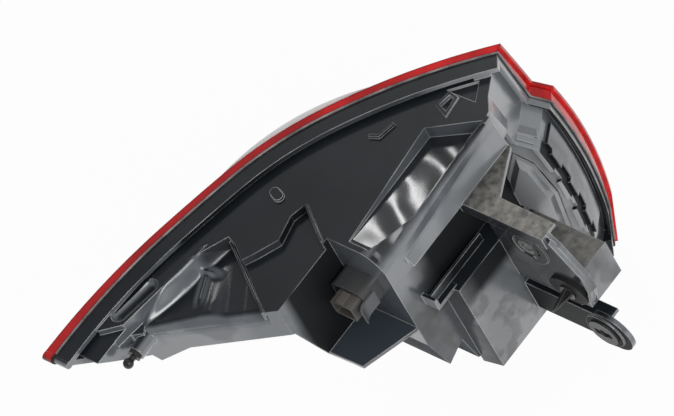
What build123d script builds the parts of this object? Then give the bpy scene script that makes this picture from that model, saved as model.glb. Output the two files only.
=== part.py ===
import os
from math import cos, radians, sin, tan

from build123d import *

os.makedirs("parts", exist_ok=True)

# Millimetres. Origin: centre of the upper fixing hole on the front face of the bracket plate.
# X runs forward to the pointed end, Y inboard (the back of the lamp), Z up.

# Lens edge
rim_x = -105.0
rim_y = -80.0
rim_z = 70.0
rear_heading = -49.5
rear_run = 32.0
rear_bend_r = 485.0
rear_bend_a = 16.0
mid_bend_r = 265.0
mid_bend_a = 18.3
nose_bend_r = 1400.0
nose_bend_a = 8.0
nose_run = 30.0
droop_x = 135.0
tip_x = 257.0
tip_top_z = 58.0
tip_low_z = 50.0
belly_x = 88.0
belly_z = -83.0
foot_x = -108.0
foot_z = -180.0
notch_top_z = 13.0
notch_low_z = 1.0
notch_out = 12.0
rear_lead = 2.5
rear_lean = 4.5
rear_bow = 23.0
rear_bow_z = -50.0
rear_tuck = 17.0
rear_tuck_z = -133.0
foot_out = 5.0

# Lens mouldings
crown = 9.0
crown_tuck = 2.0
crown_mid_z = -55.0
lens_wall = 3.0
skirt_wall = 2.5
skirt_depth = 6.0
overhang = 2.0
bulge_out = 8.0
bulge_in = 2.0
bulge_top_z = 67.0
bulge_low_z = 57.0
bulge_round = 4.0
window_rear_x = -16.0
window_front_x = 74.0
window_top_z = 60.0
window_low_z = -36.0
window_round = 12.0
fit_gap = 0.2

# Seal and housing shell
seal_thick = 1.5
seal_width = 4.0
flange_depth = 20.0
flange_drop = 1.2
flange_width = 12.0
rear_step = 5.0
top_groove = 2.5
rear_groove = 3.0
rear_groove_inset = 5.5
groove_back = 7.0
rear_lip_depth = 13.5
rear_groove_depth = 9.5
collar_depth = 45.0
collar_draft = 11.0
collar_wall = 4.0
collar_reach = 24.0
collar_low_z = -154.0
collar_notch = 3.0
collar_notch_high = 13.0
wall = 3.0
tray_depth = 36.0
panel_z = 62.0
ledge_z = 31.5
chamber_low_z = -115.0
wall_y = -51.0
hood_x = 83.0
pocket_y = -100.0
pocket_front_x = 147.0
nose_in_x = 210.0
nose_in_y = -198.0
nose_end_x = 222.0
nose_end_y = -214.0
upper_rear_s = 1.5
upper_rear_x = -55.0
lower_rear_s = 30.0
lower_rear_x = -20.0
under_z = 22.0
under_x = 145.0
under_y = -102.0
under_rise_x = 0.785
under_rise_y = 0.5

# Terraces of the top panel
terrace_z = 55.0
lower_terrace_z = 48.5
scoop_deep = 5.0
dent_deep = 3.5
leaf_deep = 4.0
nose_round_r = 9.0
nose_round_long = 96.0
slab_out = 5.0
slab_front_x = 62.0
channel_floor_z = 48.0
channel_out_y = -82.5
channel_in_y = -54.5
channel_rear_x = -50.0
channel_front_x = 78.0
channel_skew_x = -26.0
channel_skew_y = -92.0
hollow_z = 38.0
ceiling_z = 57.0
loft_front_x = 60.0
loft_in_y = -97.0
hollow_end_x = 150.0
corner_reach = 118.0

# Rear box below the ledge
box_y = -33.0
box_rear_x = -26.0
box_front_x = 48.0
box_top_z = -12.0
box_low_z = -108.0
box_draft = 6.0

# Connector hood
plate_z = -22.0
plate_thick = 3.0
plate_tip_x = 128.0
plate_tip_y = -68.0
hood_wall = 3.0

# Bracket and lower arm
plate_depth = 4.0
bar_front_x = 3.0
bar_rear_x = -13.0
bar_end_y = 31.0
bar_thick = 3.0
bar_lip = 12.0
boss_r = 19.0
boss_high = 1.5
bracket_rim = 2.4
bracket_rim_high = 2.0
fixing_r = 7.0
pin_y = 24.0
pin_z = -40.0
pin_hole_r = 4.0
arm_y = 42.0
arm_z = -85.0
arm_r = 20.0
arm_root_y = -34.0
arm_low_z = -98.0
arm_top_z = -70.0
arm_shelf = 12.0
grommet_r = 9.0
web_rear_x = -37.0
web_end_y = 38.0
web_top_z = -20.0
web_low_z = -56.0
groove_r = 11.0
groove_wide = 2.4
groove_deep = 1.6
arm_boss_r = 17.0
gutter_z = -11.0
gutter_x = 67.0
gutter_out = 13.0
gutter_high = 11.0
rib_thick = 2.0
half_pad_r = 6.0
mark_high = 2.5
recess_deep = 2.0
rib_high = 1.4
facet_high = 7.0
facet_draft = 42.0

# Ball stud
stud_y = -190.0
stud_z = 40.0
stud_boss_x = 217.0
stud_boss_r = 6.5
stud_boss_long = 16.0

stud_shank_r = 2.5
stud_shank_long = 9.0
stud_hex_r = 5.5
stud_hex_high = 3.0
stud_neck_r = 2.4
stud_neck_long = 4.0
stud_ball_r = 4.0

# Locating pin, pad, bush and grommet
pad_wide = 36.0
pad_high = 26.0
pad_thick = 3.0
pin_flange_r = 7.0
pin_flange_high = 1.6
pin_blade_wide = 9.0
pin_blade_thick = 2.2
pin_long = 19.0
bush_r = 4.4
bush_slit = 2.0
grommet_flange_r = 13.0
grommet_flange_high = 1.8
grommet_hole_r = 4.2
grommet_slot_long = 16.0
grommet_slot_wide = 6.0
grommet_slot_deep = 1.2

# Connector
plug_y = -80.0
plug_z = 20.0
passage_wide = 16.0
passage_high = 8.0
terminal_back = 9.0
terminal_pitch = 3.2
terminal_count = 4
terminal_thick = 0.8
terminal_wide = 2.4
terminal_long = 31.0
core_wide = 22.0
core_high = 16.0
core_round = 3.0
core_long = 29.0
core_base = 7.0
core_wall = 1.8
core_tab = 2.5
shroud_wide = 32.0
shroud_high = 24.0
shroud_round = 6.0
shroud_wall = 2.2
shroud_long = 18.0
clip_start = 8.0
clip_long = 27.0
clip_out = 4.0
clip_thick = 2.0
clip_high = 14.0

# Board, heat sink and reflectors
board_fixings = ((-9.0, 7.0), (60.0, 7.0), (60.0, -52.0))
post_r = 4.0
post_long = 6.0
screw_r = 1.5
clear_r = 1.8
screw_head_r = 3.0
screw_head_high = 2.0
screw_long = 9.0
sink_y = -60.0
sink_thick = 3.0
fin_x = 10.0
fin_z = -42.0
fin_pitch = 7.0
fin_count = 8
fin_thick = 1.6
fin_high = 44.0
fin_long = 18.0
board_rear_x = -16.0
board_front_x = 67.0
board_top_z = 14.0
board_low_z = -68.0
board_thick = 1.6
led_pitch = 7.0
led_size = 4.0
led_high = 1.4
brake_at = (8.0, -8.0)
brake_r = 25.0
indicator_at = (8.0, -60.0)
indicator_r = 25.0
reversing_at = (52.0, -34.0)
reversing_r = 17.0
neck_r = 9.0
bowl_wall = 1.5
bowl_deep = 26.0

# Bezel, light guide and reflex reflector
bezel_depth = 26.0
bezel_wall = 2.0
bezel_inset = 12.8
lip_inset = 5.0
lip_thick = 2.0
tunnel_reach = 140.0
guide_depth = 23.0
guide_r = 3.0
guide_z = 49.0
guide_start_a = 3.2
guide_board_high = 12.0
reflex_x = -55.0
reflex_z = -112.0
reflex_long = 60.0
reflex_high = 20.0
reflex_thick = 3.0

low_z = -260.0
high_z = 110.0
reach = 600.0

run_x = cos(radians(rear_heading))
run_y = sin(radians(rear_heading))
rim_plane = Plane(origin=(rim_x, rim_y, 0), x_dir=(run_x, run_y, 0), z_dir=(run_y, -run_x, 0))
under_plane = Plane(
    origin=(under_x, under_y, under_z),
    x_dir=(1, 0, under_rise_x),
    z_dir=(-under_rise_x, -under_rise_y, 1),
)
nose_plane = Plane(
    origin=(nose_in_x, nose_in_y, under_z),
    x_dir=(pocket_front_x - nose_in_x, pocket_y - nose_in_y, 0),
    z_dir=(pocket_y - nose_in_y, nose_in_x - pocket_front_x, 0),
)


def behind_rim(along, depth):
    """Plan point: a distance along the straight rear run, and a depth inboard of it."""
    return (rim_x + run_x * along - run_y * depth, rim_y + run_y * along + run_x * depth)


def plan_curve(depth):
    """Edges of the lens curve in plan, moved inboard by a depth; returns its two ends."""
    start = behind_rim(-rear_run, depth)
    corner = behind_rim(0, depth)
    Line(start, corner)
    rear = JernArc(corner, (run_x, run_y), rear_bend_r - depth, rear_bend_a)
    mid = JernArc(rear @ 1, rear % 1, mid_bend_r - depth, mid_bend_a)
    nose = JernArc(mid @ 1, mid % 1, nose_bend_r - depth, nose_bend_a)
    end = Line(nose @ 1, nose @ 1 + nose % 1 * nose_run)
    return start, end @ 1


def band(front_depth, back_depth):
    """Plan face between two depths behind the lens curve."""
    with BuildLine() as edge:
        front_start, front_end = plan_curve(front_depth)
        back_start, back_end = plan_curve(back_depth)
        Line(front_start, back_start)
        Line(front_end, back_end)
    make_face(edge.edges())


def side_outline(inset):
    """Side view of the lens, drawn in X and Z and shrunk by an inset."""
    with BuildLine() as edge:
        top = Line((-200, rim_z), (droop_x, rim_z))
        droop = TangentArc((droop_x, rim_z), (tip_x - 5, tip_top_z), tangent=(1, 0))
        tip = ThreePointArc(droop @ 1, (tip_x, tip_low_z + 4), (tip_x - 6, tip_low_z))
        belly = ThreePointArc(tip @ 1, (belly_x, belly_z), (foot_x, foot_z))
        foot = Line(belly @ 1, (-200, foot_z - 20))
        Line(foot @ 1, top @ 0)
    make_face(edge.edges())
    if inset > 0:
        offset(amount=-inset, kind=Kind.INTERSECTION, mode=Mode.REPLACE)


def rear_outline(inset):
    """Everything forward of the stepped rear edge, drawn square to the rear run."""
    with BuildLine() as edge:
        upper = Polyline(
            (reach, high_z),
            (inset - rear_lead, high_z),
            (inset - rear_lead, rim_z),
            (inset - rear_lead - rear_lean, notch_top_z),
            (inset - rear_lead - rear_lean - notch_out, notch_low_z),
        )
        bow = ThreePointArc(upper @ 1, (inset - rear_bow, rear_bow_z), (inset - rear_tuck, rear_tuck_z))
        Polyline(bow @ 1, (inset - foot_out, foot_z), (inset, low_z), (reach, low_z), upper @ 0)
    make_face(edge.edges())


def trim(inset, rear_inset):
    """Cut the part being built to the lens outline."""
    with BuildSketch(Plane.XZ) as side:
        side_outline(inset)
    extrude(side.sketch, amount=reach, both=True, mode=Mode.INTERSECT)
    with BuildSketch(rim_plane) as rear:
        rear_outline(rear_inset)
    extrude(rear.sketch, amount=reach, both=True, mode=Mode.INTERSECT)


def rim_block(front_depth, back_depth, inset, rear_inset):
    """Upright block between two depths behind the lens, trimmed to its outline."""
    with BuildPart() as block:
        with BuildSketch(Plane.XY.offset(low_z)):
            band(front_depth, back_depth)
        extrude(amount=high_z - low_z)
        trim(inset, rear_inset)
    return block.part


def crown_block(below_face, back_depth, inset, rear_inset):
    """Block from a depth forward to the crowned lens face, trimmed to the outline."""
    with BuildPart() as block:
        with BuildLine() as path:
            plan_curve(0)
        start = Plane(origin=path.line @ 0, x_dir=(run_y, -run_x, 0), z_dir=(-run_x, -run_y, 0))
        with BuildSketch(start):
            with BuildLine():
                face = ThreePointArc(
                    (-below_face, rim_z + 5),
                    (crown - below_face, crown_mid_z),
                    (-crown_tuck - below_face, foot_z - 25),
                )
                Polyline(face @ 1, (-back_depth, foot_z - 25), (-back_depth, rim_z + 5), face @ 0)
            make_face()
        sweep(path=path.line)
        trim(inset, rear_inset)
    return block.part


def under_wedge(lift):
    """Everything below the sloping underside, forward of the connector hood."""
    with BuildPart() as wedge:
        with BuildSketch(under_plane.offset(lift)):
            Rectangle(900, 900)
        extrude(amount=-350)
        with BuildSketch(Plane.YZ.offset(hood_x - lift)):
            Rectangle(1400, 1400)
        extrude(amount=500, mode=Mode.INTERSECT)
    return wedge.part


def scoop(start, end, top_z, round_r, deep):
    """Round-bottomed hollow between two plan points, so deep below a level."""
    axis_z = top_z - deep + round_r
    from_point = Vector(*start, axis_z)
    to_point = Vector(*end, axis_z)
    with BuildPart() as hollow:
        with Locations(from_point, to_point):
            Sphere(round_r)
        with BuildSketch(Plane(from_point, z_dir=to_point - from_point)) as across:
            Circle(round_r)
        extrude(across.sketch, amount=(to_point - from_point).length)
        with BuildSketch(Plane.XY.offset(top_z + 2)) as lid:
            Rectangle(2 * reach, 2 * reach)
        extrude(lid.sketch, amount=reach, mode=Mode.SUBTRACT)
    return hollow.part


skin_front = crown_block(0, skirt_depth, 0, 0)
skin_back = crown_block(lens_wall, skirt_depth + 1, 0, 0)
skirt_outer = crown_block(1, skirt_depth, 0, overhang)
skirt_inner = crown_block(1, skirt_depth + 1, skirt_wall, overhang + skirt_wall)
wedge_outer = under_wedge(0)
wedge_inner = under_wedge(wall)

with BuildPart() as outer_lens_clear:
    add(skin_front)
    add(skin_back, mode=Mode.SUBTRACT)
    with BuildSketch(Plane.XZ):
        with Locations(((window_rear_x + window_front_x) / 2, (window_top_z + window_low_z) / 2)):
            RectangleRounded(window_front_x - window_rear_x, window_top_z - window_low_z, window_round)
    extrude(amount=reach, both=True, mode=Mode.INTERSECT)
    with BuildLine(Plane.XY.offset(bulge_low_z)) as bulge_path:
        plan_curve(0)
    bulge_rear = bulge_path.edges().sort_by(Axis.X)[1] @ 0.62
    bulge_front = bulge_path.edges().sort_by(Axis.X)[3] @ 0.1
    bulge_mid = bulge_path.edges().sort_by(Axis.X)[2] @ 0.25
    outward = Vector(-0.49, -0.87, 0)
    with BuildSketch(Plane.XY.offset(bulge_low_z)):
        with BuildLine():
            swell = ThreePointArc(bulge_rear, bulge_mid + outward * bulge_out, bulge_front)
            inside = ThreePointArc(
                bulge_rear - outward * bulge_in,
                bulge_mid - outward * bulge_in,
                bulge_front - outward * bulge_in,
            )
            Line(swell @ 0, inside @ 0)
            Line(swell @ 1, inside @ 1)
        make_face()
    extrude(amount=bulge_top_z - bulge_low_z)
    bulge_top = outer_lens_clear.faces().sort_by(Axis.Z)[-1]
    fillet(bulge_top.edges().sort_by(Axis.Y)[:1], radius=bulge_round)
outer_lens_clear.part.label = "outer_lens_clear"
export_step(outer_lens_clear.part, "parts/outer_lens_clear.step")

with BuildPart() as outer_lens_red:
    add(skin_front)
    add(skin_back, mode=Mode.SUBTRACT)
    add(skirt_outer)
    add(skirt_inner & skin_back, mode=Mode.SUBTRACT)
    add(outer_lens_clear.part, mode=Mode.SUBTRACT)
outer_lens_red.part.label = "outer_lens_red"
export_step(outer_lens_red.part, "parts/outer_lens_red.step")

with BuildPart() as lens_seal:
    add(rim_block(skirt_depth, skirt_depth + seal_thick, fit_gap, overhang + fit_gap))
    add(rim_block(skirt_depth - 1, skirt_depth + 3, seal_width, overhang + seal_width), mode=Mode.SUBTRACT)
lens_seal.part.label = "lens_seal"
export_step(lens_seal.part, "parts/lens_seal.step")

flange_front = skirt_depth + seal_thick
flange_ring = rim_block(flange_front, flange_depth, flange_drop, overhang + flange_drop)
tray_outer = rim_block(flange_depth - 1, tray_depth, rim_z - panel_z, rear_step + flange_width - wall)
with BuildPart() as tray_inner:
    add(rim_block(flange_front - 1, tray_depth - wall, flange_width, rear_step + flange_width))
    with BuildSketch(Plane.YZ.offset(hollow_end_x)):
        Rectangle(reach, reach)
    extrude(amount=reach, mode=Mode.SUBTRACT)
lens_side = rim_block(-80, flange_front + 1, 0, -rear_run)

with BuildPart() as rear_zone:
    with BuildSketch(rim_plane):
        with Locations((collar_reach, collar_low_z)):
            Rectangle(100, high_z - collar_low_z, align=(Align.MAX, Align.MIN))
    extrude(amount=reach, both=True)

with BuildPart() as rim_groove:
    groove_top = rim_z - panel_z - top_groove
    add(rim_block(flange_depth - groove_back, flange_depth + 1, groove_top, collar_reach))
    add(rim_block(0, flange_depth + 2, rim_z - panel_z, 0), mode=Mode.SUBTRACT)
    with BuildSketch(Plane.XY.offset(channel_floor_z)):
        Rectangle(2 * reach, 2 * reach)
    extrude(amount=-reach, mode=Mode.SUBTRACT)

with BuildPart() as rear_groove_cut:
    add(rim_block(rear_lip_depth, flange_depth + 1, 0, 0))
    add(rim_block(rear_groove_depth, flange_depth + 1, 0, rear_groove_inset))
    with BuildSketch(rim_plane.offset(1 - rear_groove_depth)) as collar_foot:
        rear_outline(rear_groove_inset + rear_groove)
    extrude(collar_foot.sketch, amount=-2 * tray_depth, taper=collar_draft, mode=Mode.SUBTRACT)
    add(rear_zone.part, mode=Mode.INTERSECT)
    with BuildSketch(Plane.XZ) as groove_side:
        side_outline(rim_z - panel_z - top_groove)
    extrude(groove_side.sketch, amount=reach, both=True, mode=Mode.INTERSECT)

collar_lean = tan(radians(collar_draft)) * (tray_depth - rear_groove_depth)
collar_inset = rear_groove_inset + rear_groove + collar_lean
with BuildPart() as collar:
    extrude(collar_foot.sketch, amount=rear_groove_depth - 1 - collar_depth, taper=collar_draft)
    with BuildSketch(rim_plane.offset(-tray_depth)) as collar_inside:
        rear_outline(collar_inset + collar_wall)
    extrude(collar_inside.sketch, amount=-2 * tray_depth, taper=collar_draft, mode=Mode.SUBTRACT)
    with BuildSketch(Plane.XZ) as collar_side:
        side_outline(rim_z - panel_z)
    extrude(collar_side.sketch, amount=reach, both=True, mode=Mode.INTERSECT)
    add(rear_zone.part, mode=Mode.INTERSECT)
    with BuildSketch(rim_plane.offset(collar_notch - collar_depth)):
        with Locations((0, -37), (0, -72), (0, -108)):
            Rectangle(2 * collar_reach, collar_notch_high)
    extrude(amount=-2 * collar_notch, mode=Mode.SUBTRACT)

outboard_plan = ((nose_end_x, -275), (60, -250), (-40, -190), behind_rim(0, -20))
upper_plan = (
    behind_rim(upper_rear_s, tray_depth - wall),
    (upper_rear_x, wall_y - wall),
    (upper_rear_x, wall_y),
    (hood_x, wall_y),
    (hood_x, pocket_y),
    (pocket_front_x, pocket_y),
    (nose_in_x, nose_in_y),
    (nose_end_x, nose_end_y),
) + outboard_plan
lower_plan = (
    behind_rim(lower_rear_s, tray_depth - wall),
    (lower_rear_x, wall_y),
    (hood_x, wall_y),
    (hood_x, -260),
) + outboard_plan[2:]
nose_plan = upper_plan[4:9] + ((hood_x, -260),)
corner_plan = ((hood_x, -45), (75, -80), (57, -73), (51, -111))

with BuildPart() as corner_cut:
    with BuildSketch(Plane.XZ.offset(-wall_y - 1)):
        Polygon(*corner_plan, (51, -140), (110, -140), (110, -45), align=None)
    extrude(amount=corner_reach)

with BuildPart() as chamber:
    with BuildSketch(Plane.XY.offset(panel_z)):
        Polygon(*upper_plan, align=None)
    extrude(amount=ledge_z - bar_thick - panel_z)
    with BuildSketch(Plane.XY.offset(ledge_z)):
        Polygon(*lower_plan, align=None)
    extrude(amount=chamber_low_z - ledge_z)
    with BuildSketch(Plane.XY.offset(ledge_z)):
        Polygon(*nose_plan, align=None)
    extrude(amount=chamber_low_z - ledge_z)
    add(wedge_outer, mode=Mode.SUBTRACT)
    add(corner_cut.part, mode=Mode.SUBTRACT)
    trim(wall, rear_step + flange_width - wall)
    add(tray_outer)
    add(lens_side, mode=Mode.SUBTRACT)
    with BuildSketch(Plane.XZ.offset(-box_y)):
        with Locations(((box_rear_x + box_front_x) / 2, (box_top_z + box_low_z) / 2)):
            Rectangle(box_front_x - box_rear_x, box_top_z - box_low_z)
    extrude(amount=box_y - wall_y + 1, taper=-box_draft)

with BuildPart() as chamber_hollow:
    with BuildSketch(Plane.XY.offset(ledge_z - wall)):
        Polygon(*lower_plan, align=None)
        offset(amount=-wall, kind=Kind.INTERSECTION, mode=Mode.REPLACE)
    extrude(amount=chamber_low_z + 2 * wall - ledge_z)
    with BuildSketch(Plane.XY.offset(hollow_z)):
        Polygon(*nose_plan, align=None)
        offset(amount=-wall, kind=Kind.INTERSECTION, mode=Mode.REPLACE)
    extrude(amount=chamber_low_z - hollow_z)
    with BuildSketch(Plane.XY.offset(hollow_z)):
        with Locations((hood_x, -200)):
            Rectangle(40, 140)
    extrude(amount=chamber_low_z + 2 * wall - hollow_z)
    with BuildSketch(Plane.XY.offset(ceiling_z)):
        with Locations((loft_front_x, loft_in_y)):
            Rectangle(150, 200, align=(Align.MAX, Align.MAX))
    extrude(amount=ledge_z - 2 * wall - ceiling_z)
    add(wedge_inner, mode=Mode.SUBTRACT)
    with BuildSketch(Plane.XZ.offset(-wall_y - 1)):
        Polygon(*corner_plan, (51, -140), (110, -140), (110, -45), align=None)
        offset(amount=wall, kind=Kind.INTERSECTION, mode=Mode.REPLACE)
    extrude(amount=corner_reach + wall, mode=Mode.SUBTRACT)
    trim(2 * wall, rear_step + flange_width)
    with BuildSketch(Plane.YZ.offset(hollow_end_x)):
        Rectangle(2 * reach, 2 * reach)
    extrude(amount=reach, mode=Mode.SUBTRACT)
    with BuildSketch(Plane.XZ.offset(-box_y + wall)):
        with Locations(((box_rear_x + box_front_x) / 2, (box_top_z + box_low_z) / 2)):
            Rectangle(box_front_x - box_rear_x - 2 * wall, box_top_z - box_low_z - 2 * wall)
    extrude(amount=box_y - wall_y + wall)

with BuildPart() as channel_cut:
    with BuildSketch(Plane.XY.offset(channel_floor_z - 10)):
        Polygon(
            (channel_skew_x, channel_skew_y),
            (channel_front_x, channel_out_y),
            (channel_front_x, channel_in_y),
            (channel_rear_x, channel_in_y),
            align=None,
        )
    extrude(amount=60)
    with BuildSketch(Plane.XZ):
        Polygon(
            (channel_rear_x, channel_floor_z),
            (channel_front_x, panel_z - 1),
            (channel_front_x, high_z),
            (channel_rear_x, high_z),
            align=None,
        )
    extrude(amount=reach, both=True, mode=Mode.INTERSECT)

with BuildPart() as shoulder_cut:
    for station_x, shoulder_y, shoulder_z in ((hood_x + 1, -70, 38), (upper_rear_x + 6, -54, 59)):
        with BuildSketch(Plane.YZ.offset(station_x)):
            with BuildLine():
                rim_arc = ThreePointArc(
                    (shoulder_y, panel_z + 0.5),
                    ((shoulder_y + 2 * wall_y) / 3, (shoulder_z + 3 * panel_z) / 4),
                    (wall_y + 0.5, shoulder_z),
                )
                Polyline(
                    rim_arc @ 1,
                    (wall_y + 8, shoulder_z),
                    (wall_y + 8, 90),
                    (shoulder_y, 90),
                    rim_arc @ 0,
                )
            make_face()
    loft()

with BuildPart() as terrace_cut:
    add(scoop((171, -187), (190, -171), lower_terrace_z, 22.0, scoop_deep))
    add(scoop((153, -184), (164, -165), lower_terrace_z, 26.0, dent_deep))
    add(scoop((138, -172), (150, -148), lower_terrace_z, 26.0, dent_deep))
    with BuildSketch(Plane.XY.offset(lower_terrace_z - 2 * scoop_deep)) as terrace_foot:
        Polygon(
            (139, -186),
            (114, -172),
            (117.5, -162.6),
            (156, -105),
            (230, -105),
            (222, -200),
            align=None,
        )
    extrude(terrace_foot.sketch, amount=4 * scoop_deep, mode=Mode.INTERSECT)
    extrude(terrace_foot.sketch.moved(Location((0, 0, 2 * scoop_deep))), amount=25)

with BuildPart() as slab:
    for station_x, slab_top_z in ((upper_rear_x + 1, 58.5), (slab_front_x, 41)):
        with BuildSketch(Plane.YZ.offset(station_x)):
            Polygon(
                (wall_y - 1, slab_top_z),
                (wall_y + slab_out, ledge_z - 1),
                (wall_y - 1, ledge_z - 1),
                align=None,
            )
    loft(ruled=True)

with BuildPart() as housing:
    add(chamber.part)
    add(chamber_hollow.part, mode=Mode.SUBTRACT)
    add(flange_ring)
    add(rim_groove.part, mode=Mode.SUBTRACT)
    add(rear_groove_cut.part, mode=Mode.SUBTRACT)
    add(collar.part)
    add(tray_inner.part, mode=Mode.SUBTRACT)
    add(channel_cut.part, mode=Mode.SUBTRACT)
    add(slab.part)
    add(shoulder_cut.part, mode=Mode.SUBTRACT)
    # terraces
    with BuildSketch(Plane.XY.offset(terrace_z)):
        Polygon(
            (66.6, -134.7),
            (79, -138.6),
            (100, -134),
            (118, -144),
            (127, -150),
            (152, -113),
            (170, -90),
            (89, -90),
            (88.6, -100.4),
            align=None,
        )
    extrude(amount=20, mode=Mode.SUBTRACT)
    add(terrace_cut.part, mode=Mode.SUBTRACT)
    # hollow beside the flange near the pointed end, and the rounded top of the nose wall
    add(scoop((174, -201), (204, -207), panel_z, 7.0, leaf_deep), mode=Mode.SUBTRACT)
    nose_end = Plane(nose_plane.origin, x_dir=nose_plane.z_dir, z_dir=-nose_plane.x_dir)
    with BuildSketch(nose_end.offset(-1.2 * nose_round_r)):
        with Locations((-nose_round_r, lower_terrace_z - under_z - nose_round_r)):
            Rectangle(nose_round_r + 2, nose_round_r + 2, align=(Align.MIN, Align.MIN))
            Circle(nose_round_r, mode=Mode.SUBTRACT)
    extrude(amount=-nose_round_long, mode=Mode.SUBTRACT)
    # raised marks, ribs and recesses of the top panel
    with BuildSketch(Plane.XY.offset(panel_z - 1)):
        with Locations(Location((69, -160), 70)):
            SlotOverall(2.2 * half_pad_r, 1.3 * half_pad_r)
        with BuildLine():
            Polyline(
                (-1, -126),
                (-4, -118),
                (-19, -114.5),
                (-19, -116.8),
                (-6, -119.6),
                (-3.2, -127),
                close=True,
            )
        make_face()
    extrude(amount=mark_high + 1)
    with BuildSketch(Plane.XY.offset(lower_terrace_z - 1)):
        with BuildLine():
            Line((114, -173), (154, -109))
        trace(line_width=rib_thick)
    extrude(amount=terrace_z + rib_high - lower_terrace_z + 1)
    with BuildSketch(Plane.XY.offset(terrace_z - 1)):
        with BuildLine():
            Line((66.5, -134), (87.5, -101.5))
        trace(line_width=rib_thick)
    extrude(amount=panel_z + rib_high - terrace_z + 1)
    with BuildSketch(Plane.XY.offset(panel_z - 1)):
        Polygon((-45.4, -95.9), (-59.9, -93.7), (-58.5, -83.8), (-40.2, -81.9), align=None)
    extrude(amount=rib_high + 1)
    with BuildSketch(Plane.XY.offset(panel_z - recess_deep)):
        Polygon((-47.4, -93.4), (-57, -91.5), (-56, -86.2), (-44.5, -84.8), align=None)
        Polygon((-60, -97), (-77, -79), (-61, -70), align=None)
    extrude(amount=20, mode=Mode.SUBTRACT)
    # facets inside the rear collar
    with BuildSketch(rim_plane.offset(1 - tray_depth)) as facets:
        Polygon((17, -8), (42, -56), (22, -86), (8, -118), (2, -64), (7, -26), align=None)
    extrude(facets.sketch, amount=-facet_high, taper=facet_draft)
    # connector hood: floor plate, side wall
    with BuildSketch(Plane.XY.offset(plate_z)):
        Polygon(
            (hood_x - 1, wall_y),
            (hood_x + 2, wall_y),
            (plate_tip_x, plate_tip_y),
            (plate_tip_x + 1, pocket_y - hood_wall),
            (hood_x - 1, pocket_y - hood_wall),
            align=None,
        )
    extrude(amount=-plate_thick)
    with BuildSketch(Plane.XZ.offset(-pocket_y)):
        Polygon(
            (hood_x - 1, plate_z - plate_thick),
            (plate_tip_x + 1, plate_z - plate_thick),
            (pocket_front_x - 2, under_z + 2),
            (hood_x - 1, under_z + 2),
            align=None,
        )
    extrude(amount=hood_wall)
    # gutter and rail between the wall and the rear box
    with BuildSketch(Plane.XY.offset(gutter_z)):
        with Locations(((box_front_x + gutter_x) / 2 - 2, wall_y)):
            Rectangle(gutter_x - box_front_x + 4, gutter_out, align=(Align.CENTER, Align.MIN))
    extrude(amount=-wall)
    with BuildSketch(Plane.XY.offset(gutter_z - wall)):
        with Locations((gutter_x, wall_y)):
            Rectangle(wall, gutter_out, align=(Align.MAX, Align.MIN))
    extrude(amount=gutter_high)
    with BuildSketch(Plane.XY.offset(gutter_z - wall)):
        with Locations((gutter_x, wall_y + gutter_out / 2)):
            Rectangle(gutter_x - box_rear_x - 30, rib_thick, align=(Align.MAX, Align.CENTER))
    extrude(amount=gutter_high)
    # ledge with gusset and front lip
    with BuildSketch(Plane.XY.offset(ledge_z)):
        Polygon(
            (upper_rear_x, wall_y - 1),
            (bar_front_x, wall_y - 1),
            (bar_front_x, bar_end_y),
            (bar_rear_x, bar_end_y),
            (bar_rear_x - 1, -23),
            (upper_rear_x + 2, -43),
            align=None,
        )
    extrude(amount=-bar_thick)
    with BuildSketch(Plane.XY.offset(ledge_z)):
        Polygon(
            (bar_front_x - wall, wall_y - 1),
            (bar_front_x, wall_y - 1),
            (bar_front_x, bar_end_y),
            (bar_front_x - wall, bar_end_y),
            align=None,
        )
    extrude(amount=-bar_lip)
    # bracket plate with its boss
    with BuildSketch(Plane.YZ.offset(-boss_high)):
        Polygon(
            (box_y - 1, 24),
            (bar_end_y, ledge_z),
            (39, 20),
            (50, -4),
            (52, -10),
            (52, -26),
            (44, -47),
            (26, -60),
            (2, -56),
            (-14, -32),
            (box_y - 1, -22),
            align=None,
        )
    extrude(amount=-plate_depth)
    with BuildSketch(Plane.YZ.offset(-boss_high - 1)):
        Circle(boss_r)
    extrude(amount=boss_high + 1)
    with BuildSketch(Plane.YZ.offset(-boss_high - 1)):
        with BuildLine():
            Polyline((34, 27), (37.5, 19.5), (48.5, -4.5), (50.5, -10), (50.5, -25.5), (45, -42))
        trace(line_width=bracket_rim)
    extrude(amount=boss_high + 1 + bracket_rim_high)
    with BuildSketch(Plane.YZ.offset(-groove_deep)):
        SlotArc(CenterArc((0, 0), groove_r, 20, 300), groove_wide)
    extrude(amount=groove_deep + 1, mode=Mode.SUBTRACT)
    # box web behind the plate, open below
    with BuildSketch(Plane.XY.offset(web_top_z)):
        with Locations((web_rear_x, box_y - 1)):
            Rectangle(-web_rear_x - boss_high, web_end_y - box_y + 1, align=(Align.MIN, Align.MIN))
    extrude(amount=web_low_z - web_top_z)
    with BuildSketch(Plane.XY.offset(web_low_z)):
        with Locations((web_rear_x + wall, box_y)):
            Rectangle(
                -web_rear_x - wall - plate_depth - boss_high,
                web_end_y - box_y - wall,
                align=(Align.MIN, Align.MIN),
            )
    extrude(amount=web_top_z - web_low_z - wall, mode=Mode.SUBTRACT)
    # lower arm
    with BuildSketch(Plane.YZ.offset(-boss_high)):
        with Locations((arm_root_y, (arm_low_z + arm_top_z) / 2)):
            Rectangle(arm_y - arm_root_y, arm_top_z - arm_low_z, align=(Align.MIN, Align.CENTER))
        with Locations((arm_y, arm_z)):
            Circle(arm_r)
    extrude(amount=-plate_depth)
    with BuildSketch(Plane.YZ.offset(-boss_high - 1)):
        with Locations((arm_y - 4, arm_z)):
            Circle(arm_boss_r)
    extrude(amount=boss_high + 1)
    with BuildSketch(Plane.XY.offset(arm_top_z)):
        with Locations((-boss_high, arm_root_y)):
            Rectangle(arm_shelf, arm_y - arm_root_y + 6, align=(Align.MAX, Align.MIN))
    extrude(amount=wall)
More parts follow.
